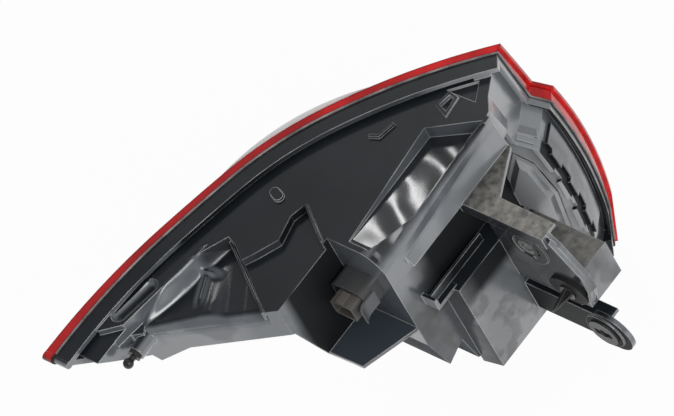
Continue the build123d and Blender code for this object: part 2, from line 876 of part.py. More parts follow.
    # holes of the three fixings
    with BuildSketch(Plane.YZ.offset(-20)):
        Circle(fixing_r)
        with Locations((pin_y, pin_z)):
            Circle(pin_hole_r)
        with Locations((arm_y - 4, arm_z)):
            Circle(grommet_r)
    extrude(amount=30, mode=Mode.SUBTRACT)
    # stud boss and web under the nose wall
    with BuildSketch(Plane.YZ.offset(stud_boss_x)):
        with Locations((stud_y, stud_z)):
            Circle(stud_boss_r)
    extrude(amount=-stud_boss_long)
    with BuildSketch(nose_plane):
        Polygon((0, 12), (12, -8), (50, 8), (50, 14), align=None)
    extrude(amount=-wall)
    # passage for the connector and bosses for the heat sink
    with BuildSketch(Plane.YZ.offset(hood_x - 2 * wall)):
        with Locations((plug_y, plug_z)):
            Rectangle(passage_wide, passage_high)
    extrude(amount=3 * wall, mode=Mode.SUBTRACT)
    with BuildSketch(Plane.XZ.offset(-wall_y + wall - 1)):
        with Locations(*board_fixings):
            Circle(post_r)
    extrude(amount=post_long + 1)
    with BuildSketch(Plane.XZ.offset(-wall_y + wall + post_long)):
        with Locations(*board_fixings):
            Circle(screw_r)
    extrude(amount=-post_long, mode=Mode.SUBTRACT)
    with BuildSketch(Plane.YZ.offset(stud_boss_x)):
        with Locations((stud_y, stud_z)):
            Circle(stud_shank_r)
    extrude(amount=-stud_shank_long, mode=Mode.SUBTRACT)
housing.part.label = "housing"
export_step(housing.part, "parts/housing.step")

with BuildPart() as heat_sink:
    with BuildSketch(Plane.XZ.offset(-sink_y)):
        with Locations(((board_rear_x + board_front_x) / 2, (board_top_z + board_low_z) / 2)):
            Rectangle(board_front_x - board_rear_x, board_top_z - board_low_z)
        with Locations(*board_fixings):
            Circle(clear_r, mode=Mode.SUBTRACT)
    extrude(amount=sink_thick)
    with BuildSketch(Plane.XZ.offset(-sink_y)):
        with Locations((fin_x, fin_z)):
            with GridLocations(fin_pitch, 1, fin_count, 1):
                Rectangle(fin_thick, fin_high)
    extrude(amount=-fin_long)
heat_sink.part.label = "heat_sink"
export_step(heat_sink.part, "parts/heat_sink.step")

board_back = -sink_y + sink_thick
board_face = board_back + board_thick
with BuildPart() as led_board:
    with BuildSketch(Plane.XZ.offset(board_back)):
        with Locations(((board_rear_x + board_front_x) / 2, (board_top_z + board_low_z) / 2)):
            RectangleRounded(board_front_x - board_rear_x, board_top_z - board_low_z, 3)
        with Locations(*board_fixings):
            Circle(clear_r, mode=Mode.SUBTRACT)
    extrude(amount=board_thick)
led_board.part.label = "led_board"
export_step(led_board.part, "parts/led_board.step")

with BuildPart() as leds:
    with BuildSketch(Plane.XZ.offset(board_face)):
        for spot in (brake_at, indicator_at, reversing_at):
            with Locations(spot):
                with GridLocations(led_pitch, led_pitch, 2, 2):
                    Rectangle(led_size, led_size)
    extrude(amount=led_high)
leds.part.label = "leds"
export_step(leds.part, "parts/leds.step")

with BuildPart() as board_screws:
    with BuildSketch(Plane.XZ.offset(board_face)):
        with Locations(*board_fixings):
            Circle(screw_head_r)
    extrude(amount=screw_head_high)
    with BuildSketch(Plane.XZ.offset(board_face)):
        with Locations(*board_fixings):
            Circle(screw_r)
    extrude(amount=-screw_long)
board_screws.part.label = "board_screws"
export_step(board_screws.part, "parts/board_screws.step")


def reflector(spot, mouth_r):
    """Bowl turned about the lamp axis: an arc from the neck on the board to the mouth."""
    with BuildPart() as bowl:
        with BuildSketch(Plane(origin=(spot[0], -board_face, spot[1]), x_dir=(1, 0, 0), z_dir=(0, 0, 1))):
            with BuildLine():
                outer = ThreePointArc(
                    (neck_r + bowl_wall, 0),
                    (mouth_r * 0.72 + bowl_wall, -bowl_deep * 0.36),
                    (mouth_r, -bowl_deep),
                )
                inner = ThreePointArc(
                    (neck_r, 0),
                    (mouth_r * 0.72, -bowl_deep * 0.36 - bowl_wall * 0.3),
                    (mouth_r - bowl_wall, -bowl_deep),
                )
                Line(outer @ 0, inner @ 0)
                Line(outer @ 1, inner @ 1)
            make_face()
        revolve(axis=Axis((spot[0], 0, spot[1]), (0, 1, 0)))
    return bowl.part


brake_reflector = reflector(brake_at, brake_r)
brake_reflector.label = "brake_reflector"
export_step(brake_reflector, "parts/brake_reflector.step")

indicator_reflector = reflector(indicator_at, indicator_r)
indicator_reflector.label = "indicator_reflector"
export_step(indicator_reflector, "parts/indicator_reflector.step")

reversing_reflector = reflector(reversing_at, reversing_r)
reversing_reflector.label = "reversing_reflector"
export_step(reversing_reflector, "parts/reversing_reflector.step")

bezel_back = bezel_depth + bezel_wall
bezel_tub = rim_block(flange_front - lip_thick, bezel_back, bezel_inset, rear_step + bezel_inset)
bezel_core = rim_block(0, bezel_depth, bezel_inset + bezel_wall, rear_step + bezel_inset + bezel_wall)
bezel_mouth = rim_block(0, bezel_back + 1, bezel_inset + bezel_wall, rear_step + bezel_inset + bezel_wall)
bezel_lip = rim_block(flange_front - lip_thick, flange_front, lip_inset, rear_step + lip_inset)
lens_room = rim_block(-80, bezel_depth, 0, 0)
bowl_mouth = board_face + bowl_deep

with BuildPart() as bezel_front:
    with BuildSketch(Plane.YZ.offset(hollow_end_x - 1)):
        Rectangle(2 * reach, 2 * reach)
    extrude(amount=reach)

mouths = ((brake_at, brake_r), (indicator_at, indicator_r), (reversing_at, reversing_r))
with BuildPart() as inner_bezel:
    with BuildSketch(Plane.XZ.offset(bowl_mouth)):
        for spot, mouth_r in mouths:
            with Locations(spot):
                Circle(mouth_r)
    extrude(amount=tunnel_reach)
    add(lens_room, mode=Mode.SUBTRACT)
    add(bezel_tub - bezel_core - bezel_front.part)
    with BuildSketch(Plane.XZ.offset(bowl_mouth)):
        for spot, mouth_r in mouths:
            with Locations(spot):
                Circle(mouth_r - bowl_wall)
    extrude(amount=tunnel_reach, mode=Mode.SUBTRACT)
    add(bezel_lip - bezel_mouth)
    add(bezel_lip & bezel_front.part)
inner_bezel.part.label = "inner_bezel"
export_step(inner_bezel.part, "parts/inner_bezel.step")

with BuildPart() as tail_light_guide:
    with BuildLine(Plane.XY.offset(guide_z)) as guide_path:
        guide_lead = JernArc(
            behind_rim(0, guide_depth),
            (run_x, run_y),
            rear_bend_r - guide_depth,
            guide_start_a,
            mode=Mode.PRIVATE,
        )
        guide_rear = JernArc(
            guide_lead @ 1, guide_lead % 1, rear_bend_r - guide_depth, rear_bend_a - guide_start_a
        )
        JernArc(guide_rear @ 1, guide_rear % 1, mid_bend_r - guide_depth, mid_bend_a)
    guide_end = Plane(origin=guide_rear @ 0, x_dir=(0, 0, 1), z_dir=guide_rear % 0)
    with BuildSketch(guide_end):
        Circle(guide_r)
    sweep(path=guide_path.line)
tail_light_guide.part.label = "tail_light_guide"
export_step(tail_light_guide.part, "parts/tail_light_guide.step")

with BuildPart() as guide_led:
    with BuildSketch(guide_end):
        Rectangle(led_size, led_size)
    extrude(amount=-led_high)
guide_led.part.label = "guide_led"
export_step(guide_led.part, "parts/guide_led.step")

with BuildPart() as guide_board:
    with BuildSketch(guide_end.offset(-led_high)):
        Rectangle(guide_board_high, 2 * guide_r)
    extrude(amount=-board_thick)
guide_board.part.label = "guide_board"
export_step(guide_board.part, "parts/guide_board.step")

with BuildPart() as reflex_reflector:
    add(rim_block(bezel_depth - reflex_thick, bezel_depth, bezel_inset + 4, rear_step + bezel_inset + 4))
    with BuildSketch(Plane.XZ):
        with Locations((reflex_x, reflex_z)):
            RectangleRounded(reflex_long, reflex_high, 4)
    extrude(amount=reach, both=True, mode=Mode.INTERSECT)
reflex_reflector.part.label = "reflex_reflector"
export_step(reflex_reflector.part, "parts/reflex_reflector.step")

with BuildPart() as connector_terminals:
    with BuildSketch(Plane.YZ.offset(hood_x - terminal_back)):
        with Locations((plug_y, plug_z)):
            with GridLocations(terminal_pitch, 1, terminal_count, 1):
                Rectangle(terminal_thick, terminal_wide)
    extrude(amount=terminal_long)
connector_terminals.part.label = "connector_terminals"
export_step(connector_terminals.part, "parts/connector_terminals.step")

with BuildPart() as connector_core:
    with BuildSketch(Plane.YZ.offset(hood_x)):
        with Locations((plug_y, plug_z)):
            RectangleRounded(core_wide, core_high, core_round)
    extrude(amount=core_long)
    with BuildSketch(Plane.YZ.offset(hood_x + core_base)):
        with Locations((plug_y, plug_z)):
            RectangleRounded(core_wide - 2 * core_wall, core_high - 2 * core_wall, core_round - 1)
    extrude(amount=core_long, mode=Mode.SUBTRACT)
    with BuildSketch(Plane.YZ.offset(hood_x)):
        with Locations((plug_y, plug_z)):
            Rectangle(passage_wide - 2 * fit_gap, passage_high - 2 * fit_gap)
    extrude(amount=-wall)
    with BuildSketch(Plane.YZ.offset(hood_x + shroud_long + 1)):
        with Locations((plug_y, plug_z + core_high / 2 - 1)):
            Rectangle(core_wide / 3, core_tab + 1, align=(Align.CENTER, Align.MIN))
    extrude(amount=core_long - shroud_long - 1)
    add(connector_terminals.part, mode=Mode.SUBTRACT)
connector_core.part.label = "connector_core"
export_step(connector_core.part, "parts/connector_core.step")

with BuildPart() as connector_shroud:
    with BuildSketch(Plane.YZ.offset(hood_x)):
        with Locations((plug_y - 2, plug_z)):
            RectangleRounded(shroud_wide, shroud_high, shroud_round)
            RectangleRounded(
                shroud_wide - 2 * shroud_wall,
                shroud_high - 2 * shroud_wall,
                shroud_round - shroud_wall,
                mode=Mode.SUBTRACT,
            )
    extrude(amount=shroud_long)
connector_shroud.part.label = "connector_shroud"
export_step(connector_shroud.part, "parts/connector_shroud.step")

clip_y = plug_y - 2 + shroud_wide / 2
with BuildPart() as connector_clip:
    with BuildSketch(Plane.XY.offset(plug_z - clip_high / 2)):
        with BuildLine():
            foot = Line((hood_x + clip_start, clip_y), (hood_x + shroud_long, clip_y))
            bend = TangentArc(foot @ 1, (hood_x + clip_long, clip_y + clip_out), tangent=(1, 0))
            clip_top = clip_y + clip_thick
            outer = Line((hood_x + clip_start, clip_top), (hood_x + shroud_long, clip_top))
            tail = TangentArc(outer @ 1, (hood_x + clip_long, clip_top + clip_out), tangent=(1, 0))
            Line(foot @ 0, outer @ 0)
            Line(bend @ 1, tail @ 1)
        make_face()
    extrude(amount=clip_high)
connector_clip.part.label = "connector_clip"
export_step(connector_clip.part, "parts/connector_clip.step")

with BuildPart() as ball_stud:
    with BuildSketch(Plane.YZ.offset(stud_boss_x)):
        with Locations((stud_y, stud_z)):
            Circle(stud_shank_r)
    extrude(amount=-stud_shank_long)
    with BuildSketch(Plane.YZ.offset(stud_boss_x)):
        with Locations((stud_y, stud_z)):
            RegularPolygon(stud_hex_r, 6)
    extrude(amount=stud_hex_high)
    with BuildSketch(Plane.YZ.offset(stud_boss_x + stud_hex_high)):
        with Locations((stud_y, stud_z)):
            Circle(stud_neck_r)
    extrude(amount=stud_neck_long)
    with Locations((stud_boss_x + stud_hex_high + stud_neck_long + stud_ball_r * 0.7, stud_y, stud_z)):
        Sphere(stud_ball_r)
ball_stud.part.label = "ball_stud"
export_step(ball_stud.part, "parts/ball_stud.step")

with BuildPart() as pin_pad:
    with BuildSketch(Plane.YZ.offset(-boss_high)):
        with Locations((pin_y, pin_z)):
            Ellipse(pad_wide / 2, pad_high / 2)
            Circle(pin_hole_r, mode=Mode.SUBTRACT)
    extrude(amount=pad_thick)
pin_pad.part.label = "pin_pad"
export_step(pin_pad.part, "parts/pin_pad.step")

pin_base = pad_thick - boss_high
with BuildPart() as locating_pin:
    with BuildSketch(Plane.YZ.offset(pin_base)):
        with Locations((pin_y, pin_z)):
            Circle(pin_hole_r)
    extrude(amount=-pad_thick - plate_depth)
    with BuildSketch(Plane.YZ.offset(pin_base)):
        with Locations((pin_y, pin_z)):
            Circle(pin_flange_r)
    extrude(amount=pin_flange_high)
    with BuildSketch(Plane.YZ.offset(pin_base + pin_flange_high)):
        with Locations((pin_y, pin_z)):
            Rectangle(pin_blade_wide, pin_blade_thick)
            Rectangle(pin_blade_thick, pin_blade_wide)
    extrude(amount=pin_long)
    with BuildSketch(Plane.XY.offset(pin_z)):
        with BuildLine():
            Polyline(
                (-20, pin_y),
                (-20, pin_y + pin_flange_r),
                (pin_base + pin_flange_high, pin_y + pin_flange_r),
                (pin_base + pin_flange_high, pin_y + pin_blade_wide / 2),
                (pin_base + pin_long, pin_y + 1),
                (pin_base + pin_long, pin_y),
                close=True,
            )
        make_face()
    revolve(axis=Axis((0, pin_y, pin_z), (1, 0, 0)), mode=Mode.INTERSECT)
locating_pin.part.label = "locating_pin"
export_step(locating_pin.part, "parts/locating_pin.step")

with BuildPart() as fixing_bush:
    with BuildSketch(Plane.YZ):
        Circle(fixing_r)
        Circle(bush_r, mode=Mode.SUBTRACT)
        with Locations((fixing_r, 0)):
            Rectangle(fixing_r, bush_slit, mode=Mode.SUBTRACT)
    extrude(amount=-plate_depth - boss_high)
fixing_bush.part.label = "fixing_bush"
export_step(fixing_bush.part, "parts/fixing_bush.step")

with BuildPart() as lower_grommet:
    with BuildSketch(Plane.YZ):
        with Locations((arm_y - 4, arm_z)):
            Circle(grommet_flange_r)
    extrude(amount=grommet_flange_high)
    with BuildSketch(Plane.YZ):
        with Locations((arm_y - 4, arm_z)):
            Circle(grommet_r)
    extrude(amount=-plate_depth - boss_high)
    with BuildSketch(Plane.YZ.offset(-plate_depth - boss_high)):
        with Locations((arm_y - 4, arm_z)):
            Circle(grommet_hole_r)
    extrude(amount=20, mode=Mode.SUBTRACT)
    with BuildSketch(Plane.YZ.offset(grommet_flange_high - grommet_slot_deep)):
        with Locations((arm_y - 4, arm_z)):
            Rectangle(grommet_slot_long, grommet_slot_wide)
    extrude(amount=20, mode=Mode.SUBTRACT)
lower_grommet.part.label = "lower_grommet"
export_step(lower_grommet.part, "parts/lower_grommet.step")
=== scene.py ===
"""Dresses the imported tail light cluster: finishes, small added pieces and a white photo stage."""

import math

import bpy
import numpy as np
from bpy.props import FloatProperty, FloatVectorProperty, PointerProperty
from bpy.types import Operator, Panel, PropertyGroup
from mathutils import Matrix, Vector


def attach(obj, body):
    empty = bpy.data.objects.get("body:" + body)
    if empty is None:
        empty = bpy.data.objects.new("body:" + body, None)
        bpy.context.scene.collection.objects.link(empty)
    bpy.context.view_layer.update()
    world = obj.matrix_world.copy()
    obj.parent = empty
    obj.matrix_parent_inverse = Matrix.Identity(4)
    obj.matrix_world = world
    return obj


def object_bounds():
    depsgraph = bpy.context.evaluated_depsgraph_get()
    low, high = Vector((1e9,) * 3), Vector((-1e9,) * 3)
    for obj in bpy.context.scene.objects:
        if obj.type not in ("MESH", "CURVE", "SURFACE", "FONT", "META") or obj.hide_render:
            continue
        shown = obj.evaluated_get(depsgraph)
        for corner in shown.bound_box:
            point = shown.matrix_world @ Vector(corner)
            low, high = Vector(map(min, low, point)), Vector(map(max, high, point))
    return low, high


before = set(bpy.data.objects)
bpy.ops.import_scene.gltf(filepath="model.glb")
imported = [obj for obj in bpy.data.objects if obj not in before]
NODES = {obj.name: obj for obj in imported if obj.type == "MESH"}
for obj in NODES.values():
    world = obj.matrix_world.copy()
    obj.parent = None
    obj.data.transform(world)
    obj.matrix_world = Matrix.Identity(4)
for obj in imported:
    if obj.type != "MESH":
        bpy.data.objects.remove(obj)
CAD_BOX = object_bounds()

bl_info = {
    "name": "Tail light cluster",
    "version": (1, 0, 0),
    "blender": (4, 5, 0),
    "location": "View3D > Sidebar > Tail light",
    "description": "Finishes and stages a wrap-around tail light cluster",
    "category": "Object",
}

# The photograph's view, in the frame of the CAD model.
TO_VIEWER = Vector((0.30, 0.59, 0.75)).normalized()
IMAGE_RIGHT = Vector((-0.5873, 0.7335, -0.3421)).normalized()
IMAGE_CENTRE = Vector((0.0509, -0.1249, 0.0429))
IMAGE_WIDTH = 0.4853
CAMERA_DISTANCE = 12.0
SENSOR_WIDTH = 36.0

# The stage: the floor, and for each light the direction from the lamp and the distance.
FLOOR_GAP = 0.001
FLOOR_HALF = 40.0
SHADOW_KEPT = 0.04
LIGHT_SIZE = 0.9
KEY_FROM = (0.2, 0.75, 0.63)
KEY_AWAY = 1.6
STREAK_FROM = (-0.47, -0.53, 0.705)
STREAK_AWAY = 6.0

# The lens edge as the CAD model has it, in metres and degrees. A bend is a radius and a turn.
RIM = (-0.105, -0.080, 0.0)
RIM_Z = 0.070
REAR_WAY = math.radians(-49.5)
REAR_RUN = (math.cos(REAR_WAY), math.sin(REAR_WAY), 0.0)
REAR_INBOARD = (-math.sin(REAR_WAY), math.cos(REAR_WAY), 0.0)
REARWARD = (-math.cos(REAR_WAY), -math.sin(REAR_WAY), 0.0)
BENDS = ((0.485, 16.0), (0.265, 18.3), (1.400, 8.0))
NOSE_RUN = 0.024
DROOP_X = 0.135
DROOP_LONG = 0.117
DROOP = 0.012

# The stepped rear edge: heights, and how far behind the rim the edge lies there.
STEP_FOOT = 0.001
TAIL_TOP = -0.133
EDGE_ABOVE = ((STEP_FOOT, -0.0168), (0.013, -0.0048), (RIM_Z, -0.0003))
EDGE_BOW = ((TAIL_TOP, -0.0148), (-0.050, -0.0208), (STEP_FOOT, -0.0168))
EDGE_BELOW = ((-0.180, -0.0028), (TAIL_TOP, -0.0148))
BOW = np.polyfit(*np.transpose(EDGE_BOW), 2)

# The weld seam behind that edge.
SEAM_DEPTH = 0.00675
SEAM_FOOT = -0.170
SEAM_REAR_TOP = RIM_Z - 0.0004
SEAM_TOP = RIM_Z - 0.0002
SEAM_REAR_ROWS = 160
SEAM_TOP_ROWS = 400
SEAM_SIDES = 12

# The collar's outer face behind the rear edge, and the stepped rail on that face.
COLLAR_IN = 0.00468
COLLAR_LEAN = math.tan(math.radians(11.0))
RAIL_ROWS = 480
RAIL_TOP = -0.010
RAIL_FOOT = -0.122
RAIL_FROM = 0.0165
RAIL_TO = 0.0385
RAIL_STEP = 0.004
RAIL_PITCH = 0.036
RAIL_SUNK = 0.0006
NOTCH_MIDDLE = 0.75
NOTCH_RAMP = (0.26, 0.24)
NOTCH_START = (0.48, 0.52)

# The nose terrace as the CAD model has it: its front wall's ends, its level and the wall's rounding.
NOSE_FROM = (0.210, -0.198)
NOSE_TO = (0.147, -0.100)
TERRACE_Z = 0.0485
PANEL_Z = 0.062
NOSE_ROUND = 0.009
TERRACE_CORNERS = ((-0.0082, -0.0090), (0.0485, 0.0532), (0.0738, 0.0667))

# The saddle on the terrace: lengths along the front wall and across from it, heights, and the ends between
# which each form fades in or out.
SADDLE_ROWS = 160
SADDLE_COLUMNS = 120
SADDLE_ALONG = (0.006, 0.092)
SADDLE_FOOT = 0.0025
SADDLE_PAST = 0.004
SADDLE_SKIN = 0.00025
SADDLE_DIP = 0.0004
SADDLE_FADES = ((0.0025, 0.007), (0.006, 0.014), (0.086, 0.092))
ROLL_WIDTHS = ((0.013, 0.005), (0.040, 0.0095))
ROLL_HIGH = PANEL_Z - TERRACE_Z + 0.0003
ROLL_BACK = 0.0008
ROLL_BACK_FADE = (0.0, 0.003)
ROLL_FADE = (0.006, 0.030)
BANK_AT = (0.048, 0.050)
BANK_TURN = (0.92, 0.39)
BANK_HIGH = 0.0040
BANK_WIDE = 0.0038
BANK_FADES = ((-0.010, 0.0), (0.010, 0.024))
RIDGE_AT = 0.0505
RIDGE_LEAN = 0.1
RIDGE_HIGH = 0.0024
RIDGE_WIDE = 0.004
RIDGE_FADES = ((0.010, 0.022), (0.040, 0.050))
SLOPE = 0.11
SLOPE_FROM = 0.008
SLOPE_LONG = 0.026
SLOPE_FADES = ((0.004, 0.016), (0.060, 0.075))

# Where each of the housing's finishes, painted shade and painted light lies. A row is a measure, told by
# housing_measures, and the two ends between which its share goes from 0 to 1, or from the third number to the
# fourth. A zone's rows multiply.
FACES_INBOARD = ("face_y", 0.7, 0.95)
FACES_AHEAD = (("face_x", 0.8, 0.97), ("x", 0.055, 0.045))
HOUSING_ZONES = {
    "level": (("face_z", 0.85, 0.985),),
    "shoulder": (("y", -0.064, -0.060), ("z", 0.050, 0.053), ("face_z", 0.45, 0.68)),
    # Painted shade: faces that point ahead are darkened by a share.
    "ahead": FACES_AHEAD,
    # Painted shade: the hood bay's inboard wall is darkened.
    "hood_bay": (("y", -0.098, -0.0995), ("x", 0.142, 0.134), FACES_INBOARD),
    # Painted light: the hood's side faces that point ahead are lightened.
    "hood_side": (("x", 0.058, 0.062), ("x", 0.074, 0.070), ("face_x", 0.8, 0.97)),
    "hood_cheek": (("x", 0.172, 0.160), ("x", 0.120, 0.130), ("y", -0.092, -0.097)),
    # Painted shadow: the wall under the fixing bar is darkened.
    "under_bar": (
        ("slant", 0.030, 0.004), ("x", -0.012, -0.008), ("y", -0.058, -0.056),
        ("z", 0.027, 0.024), ("z", -0.036, -0.028), FACES_INBOARD,
    ),
    # Painted light: the bar's front edge is paler.
    "bar_edge": (("y", -0.0512, -0.0500), ("z", 0.027, 0.030)),
    "bar_ledge": (("z", 0.044, 0.036), ("z", 0.02, 0.028), ("y", -0.058, -0.02, 0.35, 1.0)),
    "bar_web": (("z", 0.03, 0.02), ("z", -0.06, -0.05), ("y", -0.034, -0.03, 0.0, 0.6)),
    # Painted shade: the ring groove's floor and the lower arm are darkened.
    "ring_groove": (*FACES_AHEAD, ("ring", 0.0085, 0.0092), ("ring", 0.0130, 0.0124)),
    "lower_arm": (*FACES_AHEAD, ("z", -0.050, -0.058)),
    # Painted light: the lower plate's deck is lightened.
    "lower_plate": (("z", 0.0, -0.01), ("x", 0.078, 0.084)),
    "collar": (("x", -0.045, -0.062),),
    "collar_back": (("face_x", -0.38, -0.46), ("z", 0.004, -0.012)),
    # Painted light: the collar's faces are paler.
    "collar_pale": (("face_x", -0.45, -0.35, 0.5, 0.95),),
    # Painted light: the collar's faces that point inboard are lightened.
    "collar_tray": (("face_x", 0.4, 0.6),),
    # Painted shade: the collar's strip beside the rail and the rail's end wall are darkened.
    "rail_side": (("face_rear", 0.8, 0.92), ("z", -0.004, -0.006), ("stepped", RAIL_TO - 0.0004, RAIL_TO)),
    "rail_end": (("face_x", 0.55, 0.7), ("run", -0.002, -0.004), ("depth", RAIL_TO + 0.002, RAIL_TO + 0.001)),
    "chamber": (("x", -0.04, -0.03), ("x", 0.09, 0.08), ("z", 0.03, 0.01)),
    # Painted shade on the chamber's left wall, and painted light on its right wall below.
    "chamber_left": (("y", -0.056, -0.053), ("y", -0.044, -0.047), ("z", 0.02, 0.0), FACES_INBOARD),
    "chamber_right": (("y", -0.037, -0.0355), ("z", -0.030, -0.040), ("x", -0.004, 0.002), FACES_INBOARD),
    "chamber_draft": (("face_z", -0.08, -0.14), ("face_x", 0.8, 0.95)),
    "channel": (
        ("x", -0.052, -0.048), ("x", 0.079, 0.075), ("y", -0.095, -0.09), ("y", -0.052, -0.055),
        ("z", 0.0618, 0.0612),
    ),
}
# Zones of painted shade: a dark tone in the colour, more roughness and less coat.
PAINTED_SHADE_ZONES = ("hood_bay", "under_bar", "lower_arm", "ring_groove", "rail_side", "rail_end")
SLANT = (1.0, 0.8, 0.0)

# Colours that lie on the mouldings: dust, dirt, dark patches and greys of painted light and highlights.
DUST = (0.16, 0.145, 0.125)
DIRT = (0.37, 0.355, 0.32)
CHAMBER_DARK_PATCH = (0.075, 0.073, 0.068)
PAINTED_LIGHT_PALE = (0.27, 0.285, 0.30)
PAINTED_LIGHT_GREY = (0.25, 0.262, 0.275)
PAINTED_BRIGHT_GREY = (0.42, 0.435, 0.45)
# Grey of the painted highlight along the housing's edges.
EDGE_HIGHLIGHT_GREY = 0.62
# Grey of the painted highlight along the small parts' edges.
SMALL_EDGE_HIGHLIGHT_GREY = 0.35

# How strongly the finishes, the painted shade and the painted light work, as shares of 1.
SMALL_EDGE_HIGHLIGHT_SHARE = 0.35
DUST_ROUGHNESS = 0.35
DIRT_AND_SHADE_ROUGHNESS = 0.4
SCRATCH_ROUGHNESS = 0.07
DRAFT_ROUGHNESS = 0.95
WALL_GREYING = 0.5
# Share of the painted shade on faces that point ahead.
AHEAD_SHADE = 0.72
BAR_EDGE_PALENESS = 0.5
CHEEK_DULLING = 0.8
CHANNEL_COAT = 0.45
# Shares of the painted shade on the red lens, towards the point and on the outer edge.
POINT_PAINTED_SHADE = 0.45
OUTER_EDGE_PAINTED_SHADE = 0.75

# Noise: its usual detail, the middle of its range, and the moulding grain in waves per metre.
NOISE_DETAIL = 3.0
NOISE_MIDDLE = (0.3, 0.7)
GRAIN_SCALE = 2400.0
GRAIN_DEPTH = 0.0002
EDGE_LIKENESS = (0.985, 0.86)
ACRYLIC_IOR = 1.49


def tone(colour, times=1.0):
    """Opaque colour, made brighter or darker by a factor."""
    return (*(Vector(colour[:3]) * times), 1.0)


def grey(level):
    """Neutral colour of one level, opaque."""
    return (level, level, level, 1.0)


class Wires:
    """Node graph of one material, with short ways to add and link its nodes."""

    def __init__(self, name):
        self.material = bpy.data.materials.new(name)
        self.material.use_nodes = True
        self.tree = self.material.node_tree
        self.tree.nodes.clear()
        self.output = self.tree.nodes.new("ShaderNodeOutputMaterial")
        self.place = self.add("ShaderNodeTexCoord").outputs["Object"]

    def add(self, kind, sockets=None, **settings):
        """New node; sockets maps an input's name or number to a value or to another output."""
        node = self.tree.nodes.new(kind)
        for key, value in settings.items():
            setattr(node, key, value)
        for key, value in (sockets or {}).items():
            if isinstance(value, bpy.types.NodeSocket):
                self.tree.links.new(value, node.inputs[key])
            else:
                node.inputs[key].default_value = value
        return node

    def noise(self, scale, detail=NOISE_DETAIL, stretch=None):
        """Grey noise of so many waves per metre, stretched along the axes if asked."""
        at = self.place
        if stretch:
            at = self.add("ShaderNodeMapping", {"Vector": at, "Scale": stretch}).outputs[0]
        sockets = {"Vector": at, "Scale": scale, "Detail": detail}
        return self.add("ShaderNodeTexNoise", sockets).outputs["Fac"]

    def span(self, value, low, high, to_low=0.0, to_high=1.0):
        """Value mapped from one range to another, held at its ends."""
        sockets = {"Value": value, "From Min": low, "From Max": high, "To Min": to_low, "To Max": to_high}
        return self.add("ShaderNodeMapRange", sockets).outputs[0]

    def vary(self, noise, to_low, to_high):
        """The middle of a noise's range mapped to another range."""
        return self.span(noise, *NOISE_MIDDLE, to_low, to_high)

    def math(self, operation, first, second=0.0):
        """One arithmetic step."""
        return self.add("ShaderNodeMath", {0: first, 1: second}, operation=operation).outputs[0]

    def times(self, first, *others):
        """Product of all the values."""
        for value in others:
            first = self.math("MULTIPLY", first, value)
        return first

    def most(self, first, *others):
        """Largest of the values."""
        for value in others:
            first = self.math("MAXIMUM", first, value)
        return first

    def less(self, value):
        """What is left of 1 without the value."""
        return self.math("SUBTRACT", 1.0, value)

    def vector(self, operation, first, second=(0.0, 0.0, 0.0)):
        """One vector step; its number and its vector are outputs of the node."""
        return self.add("ShaderNodeVectorMath", {0: first, 1: second}, operation=operation).outputs

    def reach(self, first, second):
        """How far one vector goes along another: their dot product."""
        return self.vector("DOT_PRODUCT", first, second)["Value"]

    def parts(self, vector):
        """The X, Y and Z of a vector."""
        return self.add("ShaderNodeSeparateXYZ", {0: vector}).outputs

    def facing(self):
        """The surface's plain normal."""
        return self.add("ShaderNodeNewGeometry").outputs["Normal"]

    def mix(self, share, first, second):
        """Colour mixed from two colours."""
        node = self.add("ShaderNodeMix", {0: share, 6: first, 7: second}, data_type="RGBA")
        return node.outputs[2]

    def bump(self, height, strength, distance, normal=None):
        """Normal bent by a height."""
        sockets = {"Height": height, "Strength": strength, "Distance": distance}
        if normal:
            sockets["Normal"] = normal
        return self.add("ShaderNodeBump", sockets).outputs[0]

    def edges(self, radius):
        """Normal rounded at edges, a mask that is 1 on them, and the plain normal."""
        rounded = self.add("ShaderNodeBevel", {"Radius": radius}, samples=6).outputs[0]
        flat = self.facing()
        return rounded, self.span(self.reach(rounded, flat), *EDGE_LIKENESS), flat

    def finish(self, sockets):
        """Principled surface with these sockets, as the material's result."""
        shader = self.add("ShaderNodeBsdfPrincipled", sockets)
        self.tree.links.new(shader.outputs[0], self.output.inputs["Surface"])
        return self.material


def moulded_plastic(name, colour, rough, edge_radius, dust):
    """Moulded plastic: fine grain, uneven gloss, rounded edges with a painted highlight and dust on what
    faces up.
    """
    w = Wires(name)
    rounded, edge, flat = w.edges(edge_radius)
    mottle = w.noise(scale=28.0, detail=5.0)
    specks = w.span(w.noise(scale=75.0, detail=8.0), 0.42, 0.66)
    settled = w.times(w.span(w.parts(flat)["Z"], 0.5, 0.95), specks, dust)
    tint = w.mix(mottle, tone(colour, 0.85), tone(colour, 1.15))
    tint = w.mix(settled, tint, tone(DUST))
    # Painted highlight: the edges are lightened towards a grey by a share.
    tint = w.mix(w.times(edge, SMALL_EDGE_HIGHLIGHT_SHARE), tint, grey(SMALL_EDGE_HIGHLIGHT_GREY))
    gloss = w.math("ADD", w.vary(mottle, rough * 0.85, rough * 1.2), w.times(settled, DUST_ROUGHNESS))
    grain = w.bump(w.noise(GRAIN_SCALE, detail=2.0), strength=0.06, distance=GRAIN_DEPTH, normal=rounded)
    return w.finish({"Base Color": tint, "Roughness": gloss, "Normal": grain, "IOR": 1.52})


